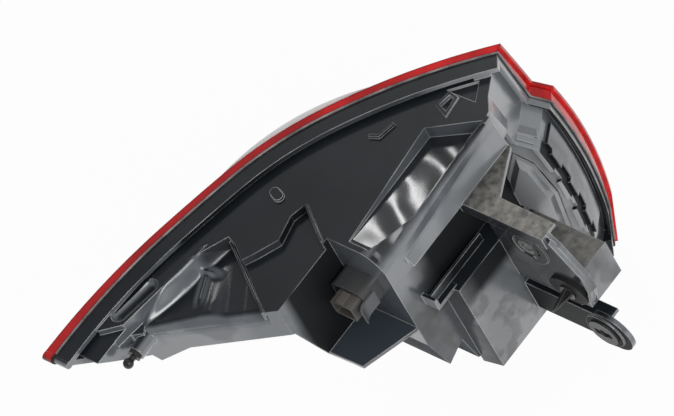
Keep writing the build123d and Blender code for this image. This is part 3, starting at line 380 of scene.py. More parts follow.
def housing_measures(w, flat):
    """Measures that tell the housing's zones apart.

    x, y and z are the place and face_x to face_rear the way a face points. slant runs level across the deep
    chamber and ring is the distance from the upper fixing's axis. depth and run are the distances from the
    rim, inboard and along the rear end, and stepped is the depth plus the rail's notch at that height.
    """
    at, facing = w.parts(w.place), w.parts(flat)
    from_rim = w.vector("SUBTRACT", w.place, RIM)["Vector"]
    depth = w.reach(from_rim, REAR_INBOARD)
    phase = w.math("FRACT", w.math("DIVIDE", at["Z"], RAIL_PITCH))
    notch = w.span(phase, *NOTCH_START, 0.0, RAIL_STEP)
    from_axis = w.vector("MULTIPLY", w.place, (0.0, 1.0, 1.0))["Vector"]
    return {
        "x": at["X"],
        "y": at["Y"],
        "z": at["Z"],
        "face_x": facing["X"],
        "face_y": facing["Y"],
        "face_z": facing["Z"],
        "face_rear": w.reach(flat, REARWARD),
        "slant": w.reach(w.place, SLANT),
        "ring": w.vector("LENGTH", from_axis)["Value"],
        "run": w.reach(from_rim, REAR_RUN),
        "depth": depth,
        "stepped": w.math("ADD", depth, notch),
    }


def housing_shares(w, measures, dust):
    """How much of each finish a point of the housing has: its zones, and what is built from them."""
    share = {}
    for name, rows in HOUSING_ZONES.items():
        share[name] = w.times(*(w.span(measures[key], *ends) for key, *ends in rows))
    share["up"] = w.most(share["level"], share["shoulder"])
    share["walls"] = w.less(share["up"])
    share["collar"] = w.times(share["collar"], w.less(share["collar_back"]))
    share["channel"] = w.times(share["channel"], share["up"])
    share["dark"] = w.most(*(share[name] for name in PAINTED_SHADE_ZONES))
    # Painted reflection: noise patches where the walls are paler and the coat changes.
    share["smudge"] = w.span(w.noise(scale=17.0), 0.47, 0.53)
    # Darker noise patches on the chamber under the fixing bar, which also lose some coat.
    share["grime"] = w.times(w.span(w.noise(scale=48.0, detail=7.0), 0.50, 0.58), share["chamber"])
    stain = w.span(w.noise(scale=170.0, detail=9.0), 0.34, 0.66, 0.3, 1.0)
    share["dirt"] = w.times(w.most(share["bar_ledge"], share["bar_web"]), share["up"], stain, dust)
    return share


def housing_tint(w, look, share, edge):
    """The housing's colour: mottled deck and walls lifted paler as painted light, with each zone's tone laid
    over the last.
    """
    shade = Vector(look.housing_colour)
    # Painted light: the walls take the colour greyed and lifted many times paler than the top.
    dulled = shade.lerp(Vector((shade.y, shade.y, shade.y)), WALL_GREYING) * look.wall_painted_light
    mottle = w.vary(w.noise(scale=22.0, detail=4.0), 0.0, 1.0)
    deck = w.mix(mottle, tone(shade, 0.85), tone(shade, 1.2))
    # Painted light: the lower plate's deck is four times lighter.
    deck = w.mix(share["lower_plate"], deck, tone(shade, 4.0))
    wall = w.mix(mottle, tone(dulled, 0.8), tone(dulled))
    # Painted light: pale grey on the collar's faces and, by a share, on the bar's edge.
    pale_collar = w.times(share["collar"], share["collar_pale"])
    pale = w.most(pale_collar, w.times(share["bar_edge"], BAR_EDGE_PALENESS))
    # Painted light: the hood's side and the collar's inboard faces are lightened towards a grey.
    painted_bright = w.most(share["hood_side"], w.times(share["collar"], share["collar_tray"]))
    # Painted shade: faces pointing ahead, and the zones of painted shade.
    shaded = w.most(w.times(share["ahead"], AHEAD_SHADE), share["dark"])
    for mask, strength, colour in (
        # Painted reflection patches lighten the walls.
        (share["smudge"], 0.3, tone(dulled, 1.6)),
        # Painted shade on the chamber's left wall and painted light on its right wall.
        (share["chamber_left"], 0.5, tone(dulled, 0.3)),
        (share["chamber_right"], 0.5, tone(PAINTED_LIGHT_GREY)),
        (pale, 1.0, tone(PAINTED_LIGHT_PALE)),
        # Darker noise patches on the chamber.
        (share["grime"], 0.5, tone(CHAMBER_DARK_PATCH)),
        (painted_bright, 0.7, tone(PAINTED_BRIGHT_GREY)),
        # Painted shade: faces pointing ahead by a share, and the shade zones in full.
        (shaded, 1.0, tone(shade, 0.5)),
    ):
        wall = w.mix(w.times(mask, strength), wall, colour)
    tint = w.mix(share["dirt"], w.mix(share["up"], wall, deck), tone(DIRT))
    # Painted highlight: the edges are lightened towards a grey, unevenly by noise.
    edge_highlight = w.times(edge, w.span(w.noise(scale=24.0), 0.36, 0.62, 0.12, 0.95))
    return w.mix(edge_highlight, tint, grey(EDGE_HIGHLIGHT_GREY))


def housing_relief(w, share, rounded):
    """The housing's normal: slow waves, wavy walls, sink ripples on the channel floor and fine grain."""
    turned = w.add("ShaderNodeMapping", {"Vector": w.place, "Rotation": (0.0, 0.0, 0.35)}).outputs[0]
    sockets = {"Vector": turned, "Scale": 7.0, "Distortion": 5.0, "Detail": 2.0, "Detail Scale": 1.5}
    ripple = w.add("ShaderNodeTexWave", sockets).outputs["Fac"]
    uneven = w.times(w.noise(scale=26.0), share["walls"])
    wave = w.bump(w.noise(scale=9.0, detail=2.0), strength=0.1, distance=0.003, normal=rounded)
    wave = w.bump(uneven, strength=0.5, distance=0.0012, normal=wave)
    wave = w.bump(w.times(ripple, share["channel"]), strength=1.0, distance=0.0018, normal=wave)
    return w.bump(w.noise(GRAIN_SCALE, detail=2.0), strength=0.05, distance=GRAIN_DEPTH, normal=wave)


def housing_gloss(w, look, share):
    """The housing's roughness and the weight of its gloss coat.

    Scratches, dirt and the zones of painted shade are rougher, and the drafted lower walls are matt. The coat
    lies on the walls and partly on the channel floor, and each dull zone takes a share of it away.
    """
    dirt_and_shade = w.most(share["dirt"], share["dark"])
    scratch = w.span(w.noise(scale=45.0, detail=5.0, stretch=(1.0, 12.0, 4.0)), 0.62, 0.8)
    rough = w.math("ADD", look.housing_rough, w.times(scratch, SCRATCH_ROUGHNESS))
    rough = w.math("ADD", rough, w.times(dirt_and_shade, DIRT_AND_SHADE_ROUGHNESS))
    rough = w.most(rough, w.times(share["chamber_draft"], DRAFT_ROUGHNESS))
    dulled = w.most(w.times(share["hood_cheek"], CHEEK_DULLING), share["chamber_left"])
    coat = w.most(share["walls"], w.times(share["channel"], CHANNEL_COAT))
    coat = w.times(coat, w.less(w.most(share["chamber_draft"], dirt_and_shade)))
    for mask, bare, covered in (
        (share["ahead"], 1.0, 0.45),
        (dulled, 1.0, 0.4),
        (share["smudge"], 0.68, 1.15),
        (share["grime"], 1.0, 0.62),
    ):
        coat = w.times(coat, w.span(mask, 0.0, 1.0, bare, covered))
    return rough, coat


def housing_plastic(look):
    """Housing moulding: dark polished top, glossier paler walls, painted edge highlights and a dirty fixing
    bar.

    The share of each finish follows the way a face points and where it lies on the part. The paler walls and
    several zones are painted light and painted shade.
    """
    w = Wires("housing_moulding")
    rounded, edge, flat = w.edges(look.edge_radius)
    share = housing_shares(w, housing_measures(w, flat), look.dust)
    rough, coat = housing_gloss(w, look, share)
    relief = housing_relief(w, share, rounded)
    return w.finish({
        "Base Color": housing_tint(w, look, share, edge),
        "Roughness": rough,
        "Normal": relief,
        "Specular IOR Level": 0.28,
        "Coat Weight": coat,
        "Coat Roughness": 0.2,
        "Coat IOR": 1.95,
        "Coat Normal": relief,
    })


def red_lens_plastic(name, colour):
    """Clear red acrylic, polished: see-through over the lamps, deeper in its thick edge walls.

    A wall is where the face points up or down, or along the rear end's heading. The colour is darkened
    towards the point and on the outer edge as painted shade.
    """
    w = Wires(name)
    shade = Vector(colour)
    # Painted shade: darker reds towards the point and along the outer edge.
    deep = (shade.x * 0.42, shade.y * 0.6, shade.z * 0.9, 1.0)
    outer = (shade.x * 0.22, 0.002, 0.008, 1.0)
    edge, flat = w.edges(radius=0.0032)[1:]
    upright = w.math("ABSOLUTE", w.parts(flat)["Z"])
    walls = w.most(w.span(upright, 0.6, 0.85), w.span(w.reach(flat, REARWARD), 0.78, 0.92))
    flow = w.span(w.noise(scale=35.0, stretch=(1.0, 1.0, 3.0)), 0.35, 0.65)
    to_point = w.span(w.parts(w.place)["X"], -0.09, 0.04)
    tint = w.mix(flow, tone(shade, 0.68), tone(shade, 1.1))
    tint = w.mix(w.times(to_point, POINT_PAINTED_SHADE), tint, deep)
    tint = w.mix(w.times(edge, walls, OUTER_EDGE_PAINTED_SHADE), tint, outer)
    gloss = w.span(w.noise(scale=220.0, detail=4.0, stretch=(6.0, 1.0, 1.0)), 0.4, 0.7, 0.03, 0.12)
    return w.finish({
        "Base Color": tint,
        "Roughness": gloss,
        "Normal": w.bump(w.noise(scale=90.0, detail=2.0), strength=0.03, distance=0.0006),
        "IOR": ACRYLIC_IOR,
        "Transmission Weight": w.span(walls, 0.0, 1.0, 0.75, 0.1),
        "Specular IOR Level": 0.4,
    })


def seam_plastic(name, colour):
    """Flash squeezed out of the lens weld: pale, part see-through, uneven along its length."""
    w = Wires(name)
    uneven = w.span(w.noise(scale=60.0, detail=5.0), 0.35, 0.65)
    return w.finish({
        "Base Color": w.mix(uneven, tone(colour, 0.35), tone(colour)),
        "Roughness": w.vary(w.noise(scale=300.0), 0.2, 0.45),
        "Normal": w.bump(w.noise(scale=500.0), strength=0.4, distance=0.0004),
        "Transmission Weight": 0.2,
    })


def clear_lens_plastic(name, colour):
    """Clear acrylic with faint haze and flow lines, milky in the walls that face up or down."""
    w = Wires(name)
    upright = w.math("ABSOLUTE", w.parts(w.facing())["Z"])
    return w.finish({
        "Base Color": w.mix(w.noise(scale=30.0), tone(colour), grey(0.97)),
        "Roughness": w.span(w.noise(scale=140.0, detail=4.0), 0.4, 0.7, 0.03, 0.12),
        "Normal": w.bump(w.noise(scale=80.0, detail=2.0), strength=0.04, distance=0.0006),
        "IOR": ACRYLIC_IOR,
        "Transmission Weight": w.span(upright, 0.3, 0.7, 0.8, 0.15),
    })


def soft_rubber(name, colour):
    """Black rubber or sealant: matt, slightly pitted."""
    w = Wires(name)
    pits = w.noise(scale=900.0, detail=4.0)
    return w.finish({
        "Base Color": w.mix(pits, tone(colour, 0.7), tone(colour, 1.6)),
        "Roughness": w.vary(w.noise(scale=60.0, detail=4.0), 0.55, 0.8),
        "Normal": w.bump(pits, strength=0.25, distance=0.0003),
    })


def bare_metal(name, colour, rough, stretch):
    """Metal with rolling or turning marks and a little staining."""
    w = Wires(name)
    marks = w.noise(scale=160.0, detail=4.0, stretch=stretch)
    stain = w.noise(scale=40.0, detail=6.0)
    return w.finish({
        "Base Color": w.mix(stain, tone(colour, 0.8), tone(colour)),
        "Roughness": w.vary(marks, rough * 0.7, rough * 1.4),
        "Normal": w.bump(marks, strength=0.15, distance=0.0002),
        "Metallic": 1.0,
    })


def printed_board(name, colour):
    """Solder mask with paler tracks under it."""
    w = Wires(name)
    cells = w.add("ShaderNodeTexVoronoi", {"Vector": w.place, "Scale": 260.0}, distance="MANHATTAN")
    lines = w.span(cells.outputs["Distance"], 0.25, 0.35)
    return w.finish({
        "Base Color": w.mix(lines, tone(colour, 1.7), tone(colour)),
        "Roughness": w.vary(w.noise(scale=300.0), 0.25, 0.4),
        "Normal": w.bump(lines, strength=0.2, distance=0.00015),
    })


def phosphor(name, colour):
    """Yellow silicone over the chip, paler at random."""
    w = Wires(name)
    return w.finish({
        "Base Color": w.mix(w.noise(scale=700.0), tone(colour), tone((0.95, 0.85, 0.5))),
        "Roughness": w.vary(w.noise(scale=500.0), 0.15, 0.3),
        "Subsurface Weight": 0.1,
    })


class LampFinish(PropertyGroup):
    """Colours and gloss of the lamp's finishes."""

    housing_colour: FloatVectorProperty(
        name="Housing", description="Moulded housing colour",
        subtype="COLOR", size=3, default=(0.013, 0.016, 0.020),
    )
    # Painted light: how much paler the walls are painted than the top.
    wall_painted_light: FloatProperty(
        name="Wall lift", description="How much paler the grained walls are than the top",
        default=7.5, min=1.0, max=10.0,
    )
    housing_rough: FloatProperty(
        name="Housing roughness", description="Roughness of the polished top",
        subtype="FACTOR", default=0.22, min=0.0, max=1.0,
    )
    edge_radius: FloatProperty(
        name="Edge radius", description="Rounding of moulded edges in shading",
        unit="LENGTH", default=0.0012,
    )
    red_colour: FloatVectorProperty(
        name="Red lens", description="Red acrylic colour",
        subtype="COLOR", size=3, default=(0.78, 0.018, 0.018),
    )
    seam_colour: FloatVectorProperty(
        name="Weld seam", description="Flash along the lens weld",
        subtype="COLOR", size=3, default=(0.42, 0.36, 0.36),
    )
    clear_colour: FloatVectorProperty(
        name="Clear lens", description="Clear acrylic colour",
        subtype="COLOR", size=3, default=(0.97, 0.91, 0.91),
    )
    black_colour: FloatVectorProperty(
        name="Black plastic", description="Pin, stud and seal colour",
        subtype="COLOR", size=3, default=(0.012, 0.012, 0.013),
    )
    dust: FloatProperty(
        name="Dust", description="How much dirt lies on the fixing bar",
        subtype="FACTOR", default=0.8, min=0.0, max=1.0,
    )


class AddedSizes(PropertyGroup):
    """Sizes of the small pieces that the scene adds to the CAD model."""

    seam_radius: FloatProperty(
        name="Seam radius", description="Radius of the flash along the lens weld",
        unit="LENGTH", default=0.00085,
    )
    rail_height: FloatProperty(
        name="Rail height", description="How far the collar's rail stands out",
        unit="LENGTH", default=0.0024,
    )
    saddle_thickness: FloatProperty(
        name="Saddle thickness", description="Thickness of the skin on the nose terrace",
        unit="LENGTH", default=0.001,
    )


class StageSetup(PropertyGroup):
    """Floor and light levels."""

    floor_level: FloatProperty(
        name="Floor", description="Grey level of the floor",
        subtype="FACTOR", default=0.9, min=0.0, max=1.0,
    )
    sky_level: FloatProperty(
        name="Sky", description="Strength of the even light",
        subtype="FACTOR", default=0.55, min=0.0, max=1.0,
    )
    key_power: FloatProperty(
        name="Key", description="Power of the soft key light",
        unit="POWER", default=10.0,
    )
    streak_power: FloatProperty(
        name="Streak", description="Power of the far softbox that the channel floor mirrors",
        unit="POWER", default=40.0,
    )


def eased(value, low, high):
    """0 before low and 1 past high, with a smooth cubic between."""
    x = np.clip((value - low) / (high - low), 0.0, 1.0)
    return x * x * (3 - 2 * x)


def read_off(value, points):
    """Second number of the points at a first number, on straight lines between them."""
    return np.interp(value, *np.transpose(points))


def new_object(name, points, faces):
    """Object at the origin with these points and faces, in the scene."""
    mesh = bpy.data.meshes.new(name)
    mesh.from_pydata(np.reshape(points, (-1, 3)).tolist(), [], faces)
    made = bpy.data.objects.new(name, mesh)
    bpy.context.scene.collection.objects.link(made)
    return made


def tube_faces(rows, sides):
    """Faces of rings in a row: a quad between each pair of neighbours, and a flat cap at each end."""
    ring = np.arange(rows - 1)[:, None] * sides
    near = np.arange(sides)[None, :]
    far = (near + 1) % sides
    quads = np.stack([ring + near, ring + far, ring + sides + far, ring + sides + near], axis=2)
    last = (rows - 1) * sides
    caps = [list(range(sides - 1, -1, -1)), list(range(last, last + sides))]
    return quads.reshape(-1, 4).tolist() + caps


def rear_edge(depth):
    """Points up the stepped rear edge, where the distance behind the rim is a curve of the height."""
    z = np.linspace(SEAM_FOOT, SEAM_REAR_TOP, SEAM_REAR_ROWS)
    low = np.where(z > TAIL_TOP, np.polyval(BOW, z), read_off(z, EDGE_BELOW))
    behind = np.where(z > STEP_FOOT, read_off(z, EDGE_ABOVE), low)
    points = np.array(RIM) + np.array(REAR_RUN) * behind[:, None] + np.array(REAR_INBOARD) * depth
    points[:, 2] = z
    return points


def lens_edge(depth):
    """Points along the lens edge at a depth behind it, and the inboard direction at each.

    First up the rear edge. Then along the top, where the heading turns evenly on each of three arcs, the
    place is the running sum of the steps and the height falls on an arc towards the point.
    """
    rear = rear_edge(depth)
    radii, turns = np.transpose(BENDS)
    turns = np.radians(turns)
    ends = np.concatenate([[0.0], np.cumsum(radii * turns)])
    s = np.linspace(0.0, ends[-1] + NOSE_RUN, SEAM_TOP_ROWS)
    way = REAR_WAY + np.interp(s, ends, np.concatenate([[0.0], np.cumsum(turns)]))
    steps = np.stack([np.cos(way), np.sin(way)], axis=1)
    middle = (steps[1:] + steps[:-1]) / 2 * np.diff(s)[:, None]
    plan = np.array(RIM[:2]) + np.concatenate([np.zeros((1, 2)), np.cumsum(middle, axis=0)])
    side = np.stack([-steps[:, 1], steps[:, 0], np.zeros(len(s))], axis=1)
    curve = (DROOP_LONG ** 2 + DROOP ** 2) / (2 * DROOP)
    past = np.clip(plan[:, 0] + side[:, 0] * depth - DROOP_X, 0.0, DROOP_LONG)
    height = SEAM_TOP - curve + np.sqrt(curve ** 2 - past ** 2)
    top = np.column_stack([plan, height]) + side * depth
    kept = top[:, 0] < DROOP_X + DROOP_LONG
    inboard = np.tile(REAR_INBOARD, (len(rear), 1))
    return np.concatenate([rear, top[kept]]), np.concatenate([inboard, side[kept]])


def weld_seam(name, radius):
    """Round bead along the lens edge.

    At each point it is a circle spanned by the inboard direction and the one square to it and to the path.
    """
    points, across = lens_edge(SEAM_DEPTH)
    out = np.cross(np.gradient(points, axis=0), across)
    out /= np.linalg.norm(out, axis=1, keepdims=True)
    turn = np.linspace(0.0, 2 * math.pi, SEAM_SIDES, endpoint=False)[None, :, None]
    ring = np.cos(turn) * across[:, None, :] + np.sin(turn) * out[:, None, :]
    grid = points[:, None, :] + radius * ring
    bead = new_object(name, grid, tube_faces(len(points), SEAM_SIDES))
    bead.data.shade_smooth()
    return bead


def collar_rail(name, height):
    """Stepped rail on the outside of the rear collar: a flat section carried down the collar.

    The collar's face lies behind the rim by the bow, a curve of the height, plus the lean times the depth.
    The section runs along the depth from a level start to an end that steps in and out by a square wave of
    the height with short ramps, and it stands square to the face.
    """
    run, inboard = np.array(REAR_RUN), np.array(REAR_INBOARD)
    outward = (inboard * COLLAR_LEAN - run) / math.hypot(1.0, COLLAR_LEAN)
    z = np.linspace(RAIL_FOOT, RAIL_TOP, RAIL_ROWS)
    start = np.full(RAIL_ROWS, RAIL_FROM)
    from_notch = np.abs(np.mod(z / RAIL_PITCH, 1.0) - NOTCH_MIDDLE)
    end = RAIL_TO - RAIL_STEP * eased(from_notch, *NOTCH_RAMP)
    depth = np.stack([start, end, end, start], axis=1)
    lift = np.array([-RAIL_SUNK, -RAIL_SUNK, height, height])
    behind = np.polyval(BOW, z)[:, None] + COLLAR_IN + COLLAR_LEAN * depth
    grid = behind[..., None] * run + depth[..., None] * inboard + lift[None, :, None] * outward
    grid += np.array(RIM)
    grid[..., 2] = z[:, None]
    return new_object(name, grid, tube_faces(RAIL_ROWS, len(lift)))


def saddle_height(along, across, run):
    """Height of the saddle over its base, from the lengths along and across and the length over the rounding.

    It is a smooth cubic roll from the top panel down into the hollow, a bank that goes on from its end, a low
    ridge across, and a slope that rises evenly towards the front. The rim of the sheet dips under its base.
    """
    corners = np.array(TERRACE_CORNERS)
    side = corners[1] - corners[0]
    side /= np.linalg.norm(side)
    clear = (along - corners[0, 0]) * side[1] - (across - corners[0, 1]) * side[0]
    roll = ROLL_HIGH - ROLL_BACK * eased(-clear, *ROLL_BACK_FADE)
    roll = roll * (1 - eased(clear / read_off(along, ROLL_WIDTHS), 0.0, 1.0)) * eased(along, *ROLL_FADE)

    course, beside = along - BANK_AT[0], across - BANK_AT[1]
    onward = course * BANK_TURN[0] - beside * BANK_TURN[1]
    aside = course * BANK_TURN[1] + beside * BANK_TURN[0]
    bank = BANK_HIGH * np.exp(-(aside / BANK_WIDE) ** 2)
    bank = bank * eased(course, *BANK_FADES[0]) * (1 - eased(onward, *BANK_FADES[1]))
    ridge = RIDGE_HIGH * np.exp(-((along - RIDGE_AT - across * RIDGE_LEAN) / RIDGE_WIDE) ** 2)
    ridge = ridge * eased(across, *RIDGE_FADES[0]) * (1 - eased(across, *RIDGE_FADES[1]))
    slope = SLOPE * np.clip(clear - SLOPE_FROM, 0.0, SLOPE_LONG)
    slope = slope * eased(run, *SLOPE_FADES[0]) * (1 - eased(along, *SLOPE_FADES[1]))

    foot, first, last = SADDLE_FADES
    kept = eased(run, *foot) * eased(along, *first) * (1 - eased(along, *last))
    raised = SADDLE_SKIN + np.hypot(roll, np.hypot(bank, ridge)) + slope
    return raised * kept - SADDLE_DIP * (1 - kept)


def nose_saddle(name, thickness):
    """Soft saddle on the nose terrace: a height over two lengths, one along the front wall and one across.

    Across, the base goes up the wall's rounding on an arc and then runs level, and the height stands square
    to it. A copy set down by the thickness closes the sheet below.
    """
    shape = (SADDLE_ROWS, SADDLE_COLUMNS)
    start, end = np.array(NOSE_FROM), np.array(NOSE_TO)
    way = (end - start) / np.linalg.norm(end - start)
    outboard = np.array([-way[1], way[0]])
    along = np.linspace(*SADDLE_ALONG, SADDLE_ROWS)[:, None] * np.ones((1, SADDLE_COLUMNS))
    arc = NOSE_ROUND * math.pi / 2
    corners = np.array(TERRACE_CORNERS)
    reach = np.interp(along, corners[:, 0], corners[:, 1]) + SADDLE_PAST - NOSE_ROUND + arc
    run = SADDLE_FOOT + (reach - SADDLE_FOOT) * np.linspace(0.0, 1.0, SADDLE_COLUMNS)[None, :]
    turn = np.minimum(run / NOSE_ROUND, math.pi / 2)
    across = NOSE_ROUND * (1 - np.cos(turn)) + np.maximum(run - arc, 0.0)
    level = TERRACE_Z - NOSE_ROUND * (1 - np.sin(turn))
    height = saddle_height(along, across, run)

    layers = []
    for lift in (height, height - thickness):
        out = across - np.cos(turn) * lift
        plan = start + along[..., None] * way + out[..., None] * outboard
        layers.append(np.concatenate([plan, (level + np.sin(turn) * lift)[..., None]], axis=2))
    place = np.arange(SADDLE_ROWS * SADDLE_COLUMNS).reshape(shape)
    cells = np.stack([place[:-1, :-1], place[1:, :-1], place[1:, 1:], place[:-1, 1:]], axis=2).reshape(-1, 4)
    rim = np.concatenate([place[0, :], place[1:, -1], place[-1, -2::-1], place[-2:0:-1, 0]])
    after = np.roll(rim, -1)
    below = place.size
    wall = np.stack([rim, after, after + below, rim + below], axis=1)
    faces = np.concatenate([cells, cells[:, ::-1] + below, wall])
    sheet = new_object(name, layers, faces.tolist())
    sheet.data.shade_smooth()
    return sheet


def paint(material, *names):
    """Give CAD nodes one material."""
    for name in names:
        node = NODES[name]
        node.data.materials.clear()
        node.data.materials.append(material)


class TAILLIGHT_OT_housing(Operator):
    """Moulded housing with the saddle near its point and the rail on its collar"""

    bl_idname = "taillight.housing"
    bl_label = "Housing"

    def execute(self, context):
        sizes = context.scene.taillight_sizes
        moulding = housing_plastic(context.scene.taillight_finish)
        paint(moulding, "housing")
        saddle = nose_saddle("nose_saddle", sizes.saddle_thickness)
        saddle.data.materials.append(moulding)
        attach(saddle, "root")
        rail = collar_rail("collar_rail", sizes.rail_height)
        rail.data.materials.append(moulding)
        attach(rail, "root")
        return {"FINISHED"}


class TAILLIGHT_OT_lens(Operator):
    """Red and clear lens mouldings, their seam and seal, the light guide and the reflex reflector"""

    bl_idname = "taillight.lens"
    bl_label = "Lens and seal"

    def execute(self, context):
        look = context.scene.taillight_finish
        paint(red_lens_plastic("red_acrylic", look.red_colour), "outer_lens_red", "reflex_reflector")
        paint(clear_lens_plastic("clear_acrylic", look.clear_colour), "outer_lens_clear", "tail_light_guide")
        paint(soft_rubber("sealing_bead", look.black_colour), "lens_seal")
        seam = weld_seam("lens_weld_seam", context.scene.taillight_sizes.seam_radius)
        seam.data.materials.append(seam_plastic("weld_flash", look.seam_colour))
        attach(seam, "root")
        return {"FINISHED"}


class TAILLIGHT_OT_connector(Operator):
    """Connector collar, core, latch and blades"""

    bl_idname = "taillight.connector"
    bl_label = "Connector"

    def execute(self, context):
        shroud = moulded_plastic(
            "collar_plastic", colour=(0.05, 0.052, 0.055), rough=0.35, edge_radius=0.0005, dust=0.1)
        core = moulded_plastic(
            "core_plastic", colour=(0.085, 0.078, 0.07), rough=0.5, edge_radius=0.0004, dust=0.3)
        latch = moulded_plastic(
            "latch_plastic", colour=(0.09, 0.096, 0.104), rough=0.35, edge_radius=0.0004, dust=0.1)
        blades = bare_metal("tinned_blades", colour=(0.75, 0.72, 0.64), rough=0.3, stretch=(1.0, 8.0, 8.0))
        paint(shroud, "connector_shroud")
        paint(core, "connector_core")
        paint(latch, "connector_clip")
        paint(blades, "connector_terminals")
        return {"FINISHED"}


class TAILLIGHT_OT_fixings(Operator):
    """Ball stud, locating pin and its pad, fixing bush, lower insert and board screws"""

    bl_idname = "taillight.fixings"
    bl_label = "Fixings"

    def execute(self, context):
        black = context.scene.taillight_finish.black_colour
        nylon = moulded_plastic("black_nylon", colour=black, rough=0.3, edge_radius=0.0004, dust=0.05)
        insert = moulded_plastic(
            "insert_plastic", colour=(0.03, 0.031, 0.033), rough=0.35, edge_radius=0.0004, dust=0.1)
        steel = bare_metal("zinc_steel", colour=(0.5, 0.5, 0.48), rough=0.35, stretch=(1.0, 5.0, 5.0))
        paint(nylon, "ball_stud", "locating_pin")
        paint(insert, "lower_grommet")
        paint(soft_rubber("pad_rubber", black), "pin_pad")
        paint(steel, "fixing_bush", "board_screws")
        return {"FINISHED"}


class TAILLIGHT_OT_inside(Operator):
    """Bezel, reflectors, boards, diodes and heat sink behind the lens"""

    bl_idname = "taillight.inside"
    bl_label = "Inside"

    def execute(self, context):
        bezel = moulded_plastic(
            "bezel_plastic", colour=(0.32, 0.32, 0.34), rough=0.2, edge_radius=0.0006, dust=0.0)
        bowl = bare_metal("metallised_bowl", colour=(0.86, 0.86, 0.87), rough=0.08, stretch=(1.0, 1.0, 1.0))
        pressed = bare_metal(
            "pressed_aluminium", colour=(0.7, 0.71, 0.73), rough=0.32, stretch=(1.0, 10.0, 1.0))
        paint(bezel, "inner_bezel")
        paint(bowl, "brake_reflector", "indicator_reflector", "reversing_reflector")
        paint(printed_board("solder_mask", colour=(0.015, 0.12, 0.045)), "led_board", "guide_board")
        paint(phosphor("diode_phosphor", colour=(0.85, 0.66, 0.16)), "leds", "guide_led")
        paint(pressed, "heat_sink")
        return {"FINISHED"}


def floor_material(level):
    """Pale floor that looks white to camera, mirror and glass rays and still keeps some of the shadow."""
    w = Wires("floor_paper")
    paper = w.add("ShaderNodeBsdfDiffuse", {"Color": grey(level)}).outputs[0]
    white = w.add("ShaderNodeEmission", {"Color": grey(1.0), "Strength": 1.0}).outputs[0]
    path = w.add("ShaderNodeLightPath").outputs
    seen = w.most(path["Is Camera Ray"], path["Is Glossy Ray"], path["Is Transmission Ray"])
    share = w.times(seen, 1.0 - SHADOW_KEPT)
    both = w.add("ShaderNodeMixShader", {0: share, 1: paper, 2: white}).outputs[0]
    w.tree.links.new(both, w.output.inputs["Surface"])
    return w.material


def studio_sky(strength):
    """World that lights the lamp evenly and looks white to the camera."""
    world = bpy.data.worlds.new("studio")
    world.use_nodes = True
    tree = world.node_tree
    tree.nodes.clear()
    out = tree.nodes.new("ShaderNodeOutputWorld")
    sky = tree.nodes.new("ShaderNodeBackground")
    path = tree.nodes.new("ShaderNodeLightPath")
    level = tree.nodes.new("ShaderNodeMapRange")
    level.inputs["To Min"].default_value = strength
    level.inputs["To Max"].default_value = 1.0
    tree.links.new(path.outputs["Is Camera Ray"], level.inputs["Value"])
    tree.links.new(level.outputs[0], sky.inputs["Strength"])
    tree.links.new(sky.outputs[0], out.inputs["Surface"])
    return world


def aim(direction, across):
    """Turned so that local Z points along direction and local X along across."""
    z = Vector(direction).normalized()
    x = (Vector(across) - z * z.dot(Vector(across))).normalized()
    return Matrix((x, z.cross(x), z)).transposed()


def soft_light(name, direction, away, power):
    """Square light at a distance from the middle of the lamp, turned towards it."""
    light = bpy.data.lights.new(name, "AREA")
    light.shape = "RECTANGLE"
    light.size = LIGHT_SIZE
    light.size_y = LIGHT_SIZE
    light.energy = power
    lamp = bpy.data.objects.new(name, light)
    way = Vector(direction).normalized()
    middle = (CAD_BOX[0] + CAD_BOX[1]) / 2
    lamp.matrix_world = Matrix.Translation(middle + way * away) @ aim(way, (1, 0, 0)).to_4x4()
    bpy.context.scene.collection.objects.link(lamp)


def photo_camera():
    """Camera at the photograph's viewing angle, far away with a long lens."""
    data = bpy.data.cameras.new("photo_camera")
    data.sensor_width = SENSOR_WIDTH
    data.lens = SENSOR_WIDTH * CAMERA_DISTANCE / IMAGE_WIDTH
    data.clip_end = 4 * CAMERA_DISTANCE
    camera = bpy.data.objects.new("photo_camera", data)
    stand = Matrix.Translation(IMAGE_CENTRE + TO_VIEWER * CAMERA_DISTANCE)
    camera.matrix_world = stand @ aim(TO_VIEWER, IMAGE_RIGHT).to_4x4()
    bpy.context.scene.collection.objects.link(camera)
    return camera


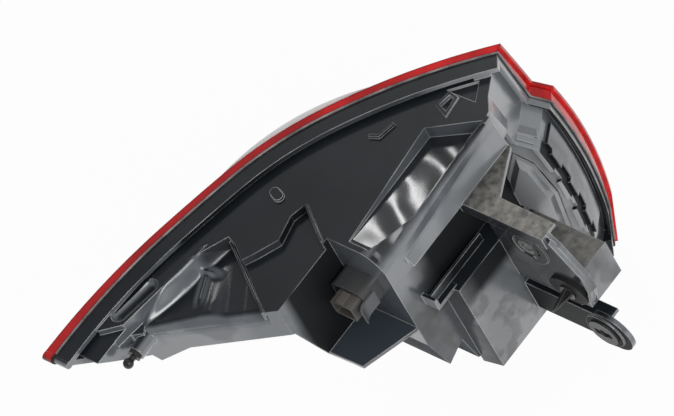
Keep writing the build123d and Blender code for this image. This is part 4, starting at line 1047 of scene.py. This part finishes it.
class TAILLIGHT_OT_stage(Operator):
    """White floor, even sky, soft lights and the photograph's camera"""

    bl_idname = "taillight.stage"
    bl_label = "Stage"

    def execute(self, context):
        scene = context.scene
        setup = scene.taillight_stage
        scene.view_settings.view_transform = "Standard"
        corners = np.array([[-1, -1, 0], [1, -1, 0], [1, 1, 0], [-1, 1, 0]]) * FLOOR_HALF
        corners[:, 2] = CAD_BOX[0].z - FLOOR_GAP
        floor = new_object("floor", corners, [(0, 1, 2, 3)])
        floor.data.materials.append(floor_material(setup.floor_level))
        scene.world = studio_sky(setup.sky_level)
        soft_light("key", KEY_FROM, KEY_AWAY, setup.key_power)
        soft_light("streak", STREAK_FROM, STREAK_AWAY, setup.streak_power)
        scene.camera = photo_camera()
        return {"FINISHED"}


class TAILLIGHT_PT_panel(Panel):
    """Sidebar list of the lamp's pieces and settings"""

    bl_idname = "TAILLIGHT_PT_panel"
    bl_label = "Tail light cluster"
    bl_space_type = "VIEW_3D"
    bl_region_type = "UI"
    bl_category = "Tail light"

    def draw(self, context):
        for setting in GROUPS:
            group = getattr(context.scene, setting)
            for field in group.bl_rna.properties:
                if field.identifier not in ("rna_type", "name"):
                    self.layout.prop(group, field.identifier)
        for operator in OPERATORS:
            self.layout.operator(operator.bl_idname)


OPERATORS = (
    TAILLIGHT_OT_housing,
    TAILLIGHT_OT_lens,
    TAILLIGHT_OT_connector,
    TAILLIGHT_OT_fixings,
    TAILLIGHT_OT_inside,
    TAILLIGHT_OT_stage,
)
GROUPS = {"taillight_finish": LampFinish, "taillight_sizes": AddedSizes, "taillight_stage": StageSetup}


def register():
    """Add the classes and the settings of the scene."""
    for cls in (*GROUPS.values(), *OPERATORS, TAILLIGHT_PT_panel):
        bpy.utils.register_class(cls)
    for name, group in GROUPS.items():
        setattr(bpy.types.Scene, name, PointerProperty(type=group))


def unregister():
    """Take the settings and the classes away again."""
    for name in GROUPS:
        delattr(bpy.types.Scene, name)
    for cls in reversed((*GROUPS.values(), *OPERATORS, TAILLIGHT_PT_panel)):
        bpy.utils.unregister_class(cls)


def main():
    """Register and run each operator in turn."""
    register()
    bpy.ops.taillight.housing()
    bpy.ops.taillight.lens()
    bpy.ops.taillight.connector()
    bpy.ops.taillight.fixings()
    bpy.ops.taillight.inside()
    bpy.ops.taillight.stage()


if __name__ == "__main__":
    main()
